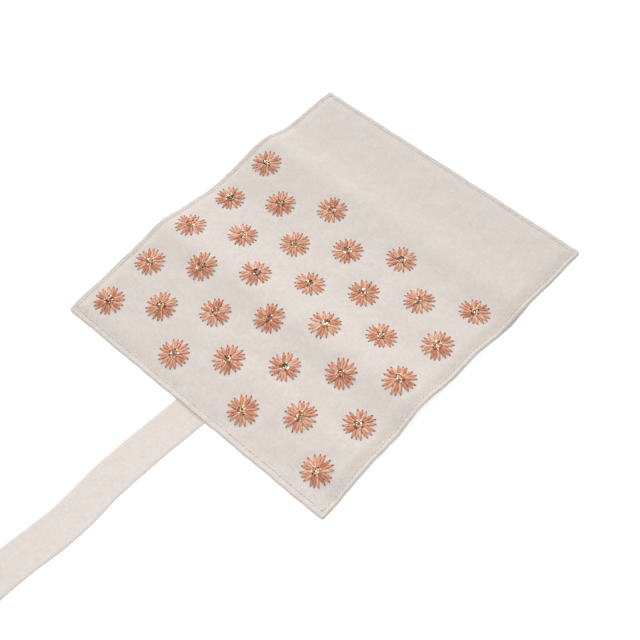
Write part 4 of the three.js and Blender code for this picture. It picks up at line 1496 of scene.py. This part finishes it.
# %% Loft
def loft(name, rings, material, closed=False):
    """A skin through rings of points. Each end is closed with a point in its middle, or the
    last ring is joined to the first."""
    rings = np.asarray(rings)
    count, around = rings.shape[:2]
    points, faces = rings.reshape(-1, 3), []
    for a in range(count if closed else count - 1):
        for b in range(around):
            c, d = (b + 1) % around, (a + 1) % count
            faces.append((a * around + b, a * around + c, d * around + c, d * around + b))
    if not closed:
        points = np.concatenate([points, [rings[0].mean(axis=0), rings[-1].mean(axis=0)]])
        last = (count - 1) * around
        for b in range(around):
            c = (b + 1) % around
            faces.append((c, b, count * around))
            faces.append((last + b, last + c, count * around + 1))
    piece = mesh_object(name, points, faces, material)
    with edited(piece.data) as work:
        bmesh.ops.remove_doubles(work, verts=work.verts, dist=1e-6)
        bmesh.ops.recalc_face_normals(work, faces=work.faces)
    return piece


# %% The ring bar's roll and its stuffing
ring_bar_cut = tie_panel_length - 8.7 * MM
bar_end = half_width - 24 * MM
bar_tab = 14 * MM
bar_taper = 9 * MM
taper_ease = 2 * MM
tab_half = 0.5 * MM
bar_half_width = 6.5 * MM
bar_half_height = 3.3 * MM
bar_top = -0.3 * MM
bar_middle = bar_top - bar_half_height
sewn_tab = bar_top - tab_half
snap_tab = -3.5 * MM
bar_around = 36
pleats, pleat_depth, pleat_start = 9, 0.05, 1.3
wrinkles, wrinkle_depth, wrinkle_wave = 3, 0.012, 5 * MM
squareness = 0.9
cover_girth, stuffing_girth = 32 * MM, 28 * MM
stuffing_inset = 0.9 * MM


def bar_section(x, inset=0.0):
    """An oval of the ring bar at a place across the roll."""
    left = ramp(x, -bar_end + bar_tab - taper_ease, -bar_end + bar_tab + bar_taper)
    right = 1 - ramp(x, bar_end - bar_tab - bar_taper, bar_end - bar_tab + taper_ease)
    full = left * right
    tab = sewn_tab if x < 0 else snap_tab
    middle = tab + (bar_middle - tab) * full
    high = tab_half + (bar_half_height - tab_half) * full - inset
    wide = bar_half_width - tab_half * (1 - full) - inset
    angles = np.arange(bar_around) * full_turn / bar_around
    gather = 4 * full * (1 - full)
    pleat = 1 + pleat_depth * gather * np.sin(pleats * angles + pleat_start)
    pleat = pleat + wrinkle_depth * np.sin(wrinkles * angles + x / wrinkle_wave)
    side = np.sign(np.cos(angles)) * np.abs(np.cos(angles)) ** squareness
    return cloth_point(x, ring_bar_cut + wide * pleat * side, middle + high * pleat * np.sin(angles))


def padded_roll(name, xs, inset, girth, material):
    """A stuffed roll with the flat place of its cloth on each point."""
    piece = loft(name, [bar_section(x, inset) for x in xs], material)
    around = np.tile(np.arange(bar_around) / bar_around * girth, len(xs))
    places = np.stack([np.repeat(xs, bar_around), around], axis=1)
    set_uv(piece, np.concatenate([places, np.zeros((2, 2))]))
    return piece


cover_xs = even_lines(-bar_end, bar_end, 1.5 * MM)
bar_cover = padded_roll("ring_bar_roll", cover_xs, 0.0, cover_girth, lining_cloth)
assign(bar_cover, "ring_bar", "lining_cloth", "ring_bar_cover")
stuffed = bar_end - bar_tab - bar_taper
stuffing_xs = even_lines(-stuffed, stuffed, 4 * MM)
bar_filling = padded_roll("ring_bar_stuffing", stuffing_xs, stuffing_inset, stuffing_girth, felt)
assign(bar_filling, "ring_bar", "interlining", "ring_bar_filling")
print("ring bar:", len(bar_cover.data.polygons), "faces")

# %% [markdown]
# The snap is three turned pieces: the stud on the panel, and on the bar's tab a socket with a
# domed cap on the other side. Cylinders would miss the stud's neck and the socket's lip. So each
# is a profile of radius and height, in millimetres, turned round the snap's own axis. The
# socket's profile closes on itself and leaves a bore.

# %% The snap
stud_profile = [
    (0.01, 0), (4.3, 0), (4.3, -0.35), (4.1, -0.5), (1.7, -0.5), (1.4, -0.7), (1.55, -1.1),
    (1.8, -1.35), (1.7, -1.6), (1.3, -1.76), (0.7, -1.8), (0.01, -1.8),
]
socket_profile = [
    (2.1, -1.5), (2.1, 0), (2.35, 0), (3.2, 0), (3.5, -0.12), (4.3, -0.45), (4.5, -0.7),
    (4.5, -1.35), (4.35, -1.5),
]
cap_profile = [
    (0.01, 0), (4.8, 0), (5, -0.15), (4.95, -0.4), (4.4, -0.72), (3.2, -0.95), (1.6, -1.08), (0.01, -1.1),
]
stud_base = -0.5 * MM
socket_base = stud_base - 0.5 * MM - layer_gap
tab_top = socket_base - 1.5 * MM - layer_gap
cap_base = tab_top - 2 * tab_half - layer_gap
turned_steps = 48


def turned(name, profile, base, body, node, closed=False):
    x, cut = np.array(bar_end - bar_tab / 2), np.array(ring_bar_cut)
    across, along, out = cloth_axes(x, cut)
    centre = cloth_point(x, cut, base)
    angles = np.arange(turned_steps) * full_turn / turned_steps
    spokes = np.cos(angles)[:, None] * across + np.sin(angles)[:, None] * along
    rings = [centre + radius * MM * spokes + height * MM * out for radius, height in profile]
    return assign(loft(name, rings, snap_brass, closed), body, "snap_metal", node)


turned("snap_stud_metal", stud_profile, stud_base, "tie_panel", "snap_stud")
turned("snap_cap_metal", cap_profile, cap_base, "ring_bar", "snap_cap")
turned("snap_socket_metal", socket_profile, socket_base, "ring_bar", "snap_socket", closed=True)
print("snap: stud, socket and cap")

# %% [markdown]
# ## The tie
#
# The tie is a strip of the shell's cloth, doubled, 25 mm wide and 613 mm long. One end is sewn
# into the hem. The strip comes down to the table in a slow curve and runs out of the picture;
# the length that the picture doesn't show is folded to and fro in six flat runs. The route is
# the CAD model's, point for point, on the same kind of curve. A curve object with a flat bevel
# would twist where the route turns up, so the strip is lofted from rings that are kept level.

# %% The tie's centre line
tie_sewn_depth = 9 * MM
tie_sewn_out = 1.2 * MM
fold_run = 72 * MM
fold_runs = 6
fold_pitch = 1.5 * MM
fold_radius = fold_pitch / 2
run_points, turn_points = 16, 8
route_steps = 9


def smooth_route(points, steps):
    """A centripetal Catmull-Rom curve through points, with that many steps between two."""
    before, after = 2 * points[0] - points[1], 2 * points[-1] - points[-2]
    padded = np.concatenate([[before], points, [after]])
    line = []
    for k in range(len(points) - 1):
        p0, p1, p2, p3 = padded[k : k + 4]
        t0, t1, t2 = (max(np.linalg.norm(b - a), 1e-9) ** 0.5 for a, b in ((p0, p1), (p1, p2), (p2, p3)))
        leave = ((p1 - p0) / t0 - (p2 - p0) / (t0 + t1) + (p2 - p1) / t1) * t1
        arrive = ((p2 - p1) / t1 - (p3 - p1) / (t1 + t2) + (p3 - p2) / t2) * t1
        for s in np.arange(steps) / steps:
            a, b = 2 * s**3 - 3 * s**2 + 1, s**3 - 2 * s**2 + s
            c, d = -2 * s**3 + 3 * s**2, s**3 - s**2
            line.append(a * p1 + b * leave + c * p2 + d * arrive)
    return np.array(line + [points[-1]])


def folded_route(start):
    """Flat runs to and fro, one above the other, with a half turn at each end."""
    x, near, height = start
    near_y, far_y = near - fold_radius, near - fold_run + fold_radius
    line = []
    for run in range(fold_runs):
        way = -1 if run % 2 == 0 else 1
        first, last = (near_y, far_y) if way < 0 else (far_y, near_y)
        line += [(x, y, height) for y in np.linspace(first if run else near, last, run_points)]
        if run < fold_runs - 1:
            for angle in np.linspace(0, math.pi, turn_points)[1:-1]:
                rise = fold_radius * (1 - math.cos(angle))
                line.append((x, last + way * fold_radius * math.sin(angle), height + rise))
        height = height + fold_pitch
    return np.array(line)


sewn_cuts = even_lines(-tie_sewn_out, tie_sewn_depth, 1.5 * MM)[::-1]
sewn_line = np.array([cloth_point(tie_offset, cut, tape_low + tie_thickness / 2) for cut in sewn_cuts])
free_points = tie_route * np.array([1, -1, 1]) + np.array([0, tie_edge[1], 0]) + roll_place
free_line = smooth_route(np.concatenate([sewn_line[-1:], free_points]), route_steps)
folded_line = folded_route(free_line[-1] - np.array([0, tie_join_gap, 0]))
tie_line = np.concatenate([sewn_line, free_line[1:], folded_line])


# %% The tie's strip
allowance_place = 2.5 * MM
allowance_swell = 0.06 * MM
width_stray, width_wave = 0.006, 30 * MM
level_after = 14


def tie_section(half, thick, across=15, edge=4):
    """A flat strip with round edges, a little fuller where the seam allowance lies inside."""
    radius = thick / 2
    ys = np.linspace(-half + radius, half - radius, across)
    fuller = allowance_swell * bell(half - np.abs(ys) - allowance_place, allowance_place)
    turn = np.linspace(-math.pi / 2, math.pi / 2, edge + 2)[1:-1]
    right = [(half - radius + radius * math.cos(a), radius * math.sin(a)) for a in turn]
    left = [(-y, height) for y, height in right[::-1]]
    low = list(zip(ys, -radius + 0 * ys))
    high = list(zip(ys[::-1], (radius + fuller)[::-1]))
    return np.array(low + right + high + left)


def tie_sides(ways):
    """The direction across the strip at each point, from the hem's own to level ones."""
    number = np.arange(len(tie_line))
    sides = np.cross(ways * (1, 1, 0), (0, 0, 1.0))
    sides[number >= len(sewn_line) + len(free_line) - 1] = (-1, 0, 0)
    sewn_side = -unit(cloth_axes(np.array(tie_offset), np.array(0.0))[0])
    share = ramp(number, len(sewn_line) - 2, len(sewn_line) + level_after)[:, None]
    return unit(sewn_side * (1 - share) + unit(sides) * share)


def tie_strip():
    ways = unit(np.gradient(tie_line, axis=0))
    sides = tie_sides(ways)
    ups = unit(np.cross(sides, ways))
    section = tie_section(tie_width / 2, tie_thickness)
    distance = np.concatenate([[0], np.cumsum(np.linalg.norm(np.diff(tie_line, axis=0), axis=1))])
    widths = 1 + width_stray * soft_noise(distance, np.zeros(len(distance)), width_wave, seed=21)
    rings, places = [], []
    for centre, side, up, width, travelled in zip(tie_line, sides, ups, widths, distance):
        rings.append(centre + section[:, :1] * width * side + section[:, 1:] * up)
        places += [(across, travelled) for across in section[:, 0]]
    piece = loft("tie_strip", rings, tie_cloth)
    set_uv(piece, np.concatenate([places, [(0, 0), (0, travelled)]]))
    return piece


tie = assign(tie_strip(), "tie_bend", "tie_cloth", "tie_sewn_end", "tie_free_stretch", "tie_folded_end")
print(f"{tie.name}: {len(tie.data.polygons)} faces")

# %% [markdown]
# ## Floor and light
#
# The photograph is a plain product shot: white all round, soft light from everywhere, a little
# more of it low from the left, and a near light over the tie. The floor glows a little, which
# lights the cloth's edges, and more so to the camera. Only a part of its white comes from the
# lamps, so that a faint shadow of the roll stays. A picture of a sky would bring colours of its
# own, so the world is plain white, dimmer for the cloth than for the camera.

# %% Floor
floor_size = 3
floor_drop = 0.05 * MM
floor_colour = (0.8, 0.8, 0.8, 1)
floor_glow = 0.25
seen_glow = 0.35
white = (1, 1, 1, 1)


def seen_share(tree):
    """1 for what the camera sees, also in a mirror or through glass, and 0 for light on its way."""
    rays = add(tree, "ShaderNodeLightPath", out="Is Camera Ray")
    seen = rays + rays.other("Is Glossy Ray") + rays.other("Is Transmission Ray")
    return seen.maths("MINIMUM", 1.0)


def make_floor():
    corners = [(x * floor_size, y * floor_size, 0) for x, y in ((-1, -1), (1, -1), (1, 1), (-1, 1))]
    material, tree = new_material("white floor")
    fill_shader(tree, {
        "Base Color": floor_colour, "Roughness": 1, "Specular IOR Level": 0, "Emission Color": white,
        "Emission Strength": seen_share(tree) * seen_glow + floor_glow,
    })
    floor = mesh_object("floor", corners, [(0, 1, 2, 3)], material)
    floor.location.z = -floor_drop
    return floor


floor = make_floor()
print("floor at", round(floor.location.z / MM, 3), "mm")

# %% Light
world_strength = 0.44
lamps = {
    "key_light": ((-2.35, 1.36, 1.27), 1.0, 60),
    "near_light": ((0.13, -0.22, 0.54), 0.25, 1.15),
}


def make_world(strength):
    world = bpy.data.worlds.new("studio")
    world.use_nodes = True
    tree = world.node_tree
    tree.nodes.clear()
    lit = add(tree, "ShaderNodeBackground", {"Color": white, "Strength": strength})
    seen = add(tree, "ShaderNodeBackground", {"Color": white, "Strength": 1.0})
    mixed = add(tree, "ShaderNodeMixShader", {0: seen_share(tree), 1: lit, 2: seen})
    end = tree.nodes.new("ShaderNodeOutputWorld")
    fill(tree, end.inputs["Surface"], mixed)
    scene.world = world


def make_lamp(name, place, size, power):
    """A round lamp that looks at the middle of the roll."""
    data = bpy.data.lights.new(name, "AREA")
    data.shape = "DISK"
    data.size = size
    data.energy = power
    lamp = bpy.data.objects.new(name, data)
    lamp.location = place
    lamp.rotation_mode = "QUATERNION"
    lamp.rotation_quaternion = (-Vector(place)).to_track_quat("-Z", "Y")
    scene.collection.objects.link(lamp)
    return lamp


make_world(world_strength)
for name, (place, size, power) in lamps.items():
    make_lamp(name, place, size, power)
scene.view_settings.view_transform = "Standard"
print("lamps:", ", ".join(lamps))
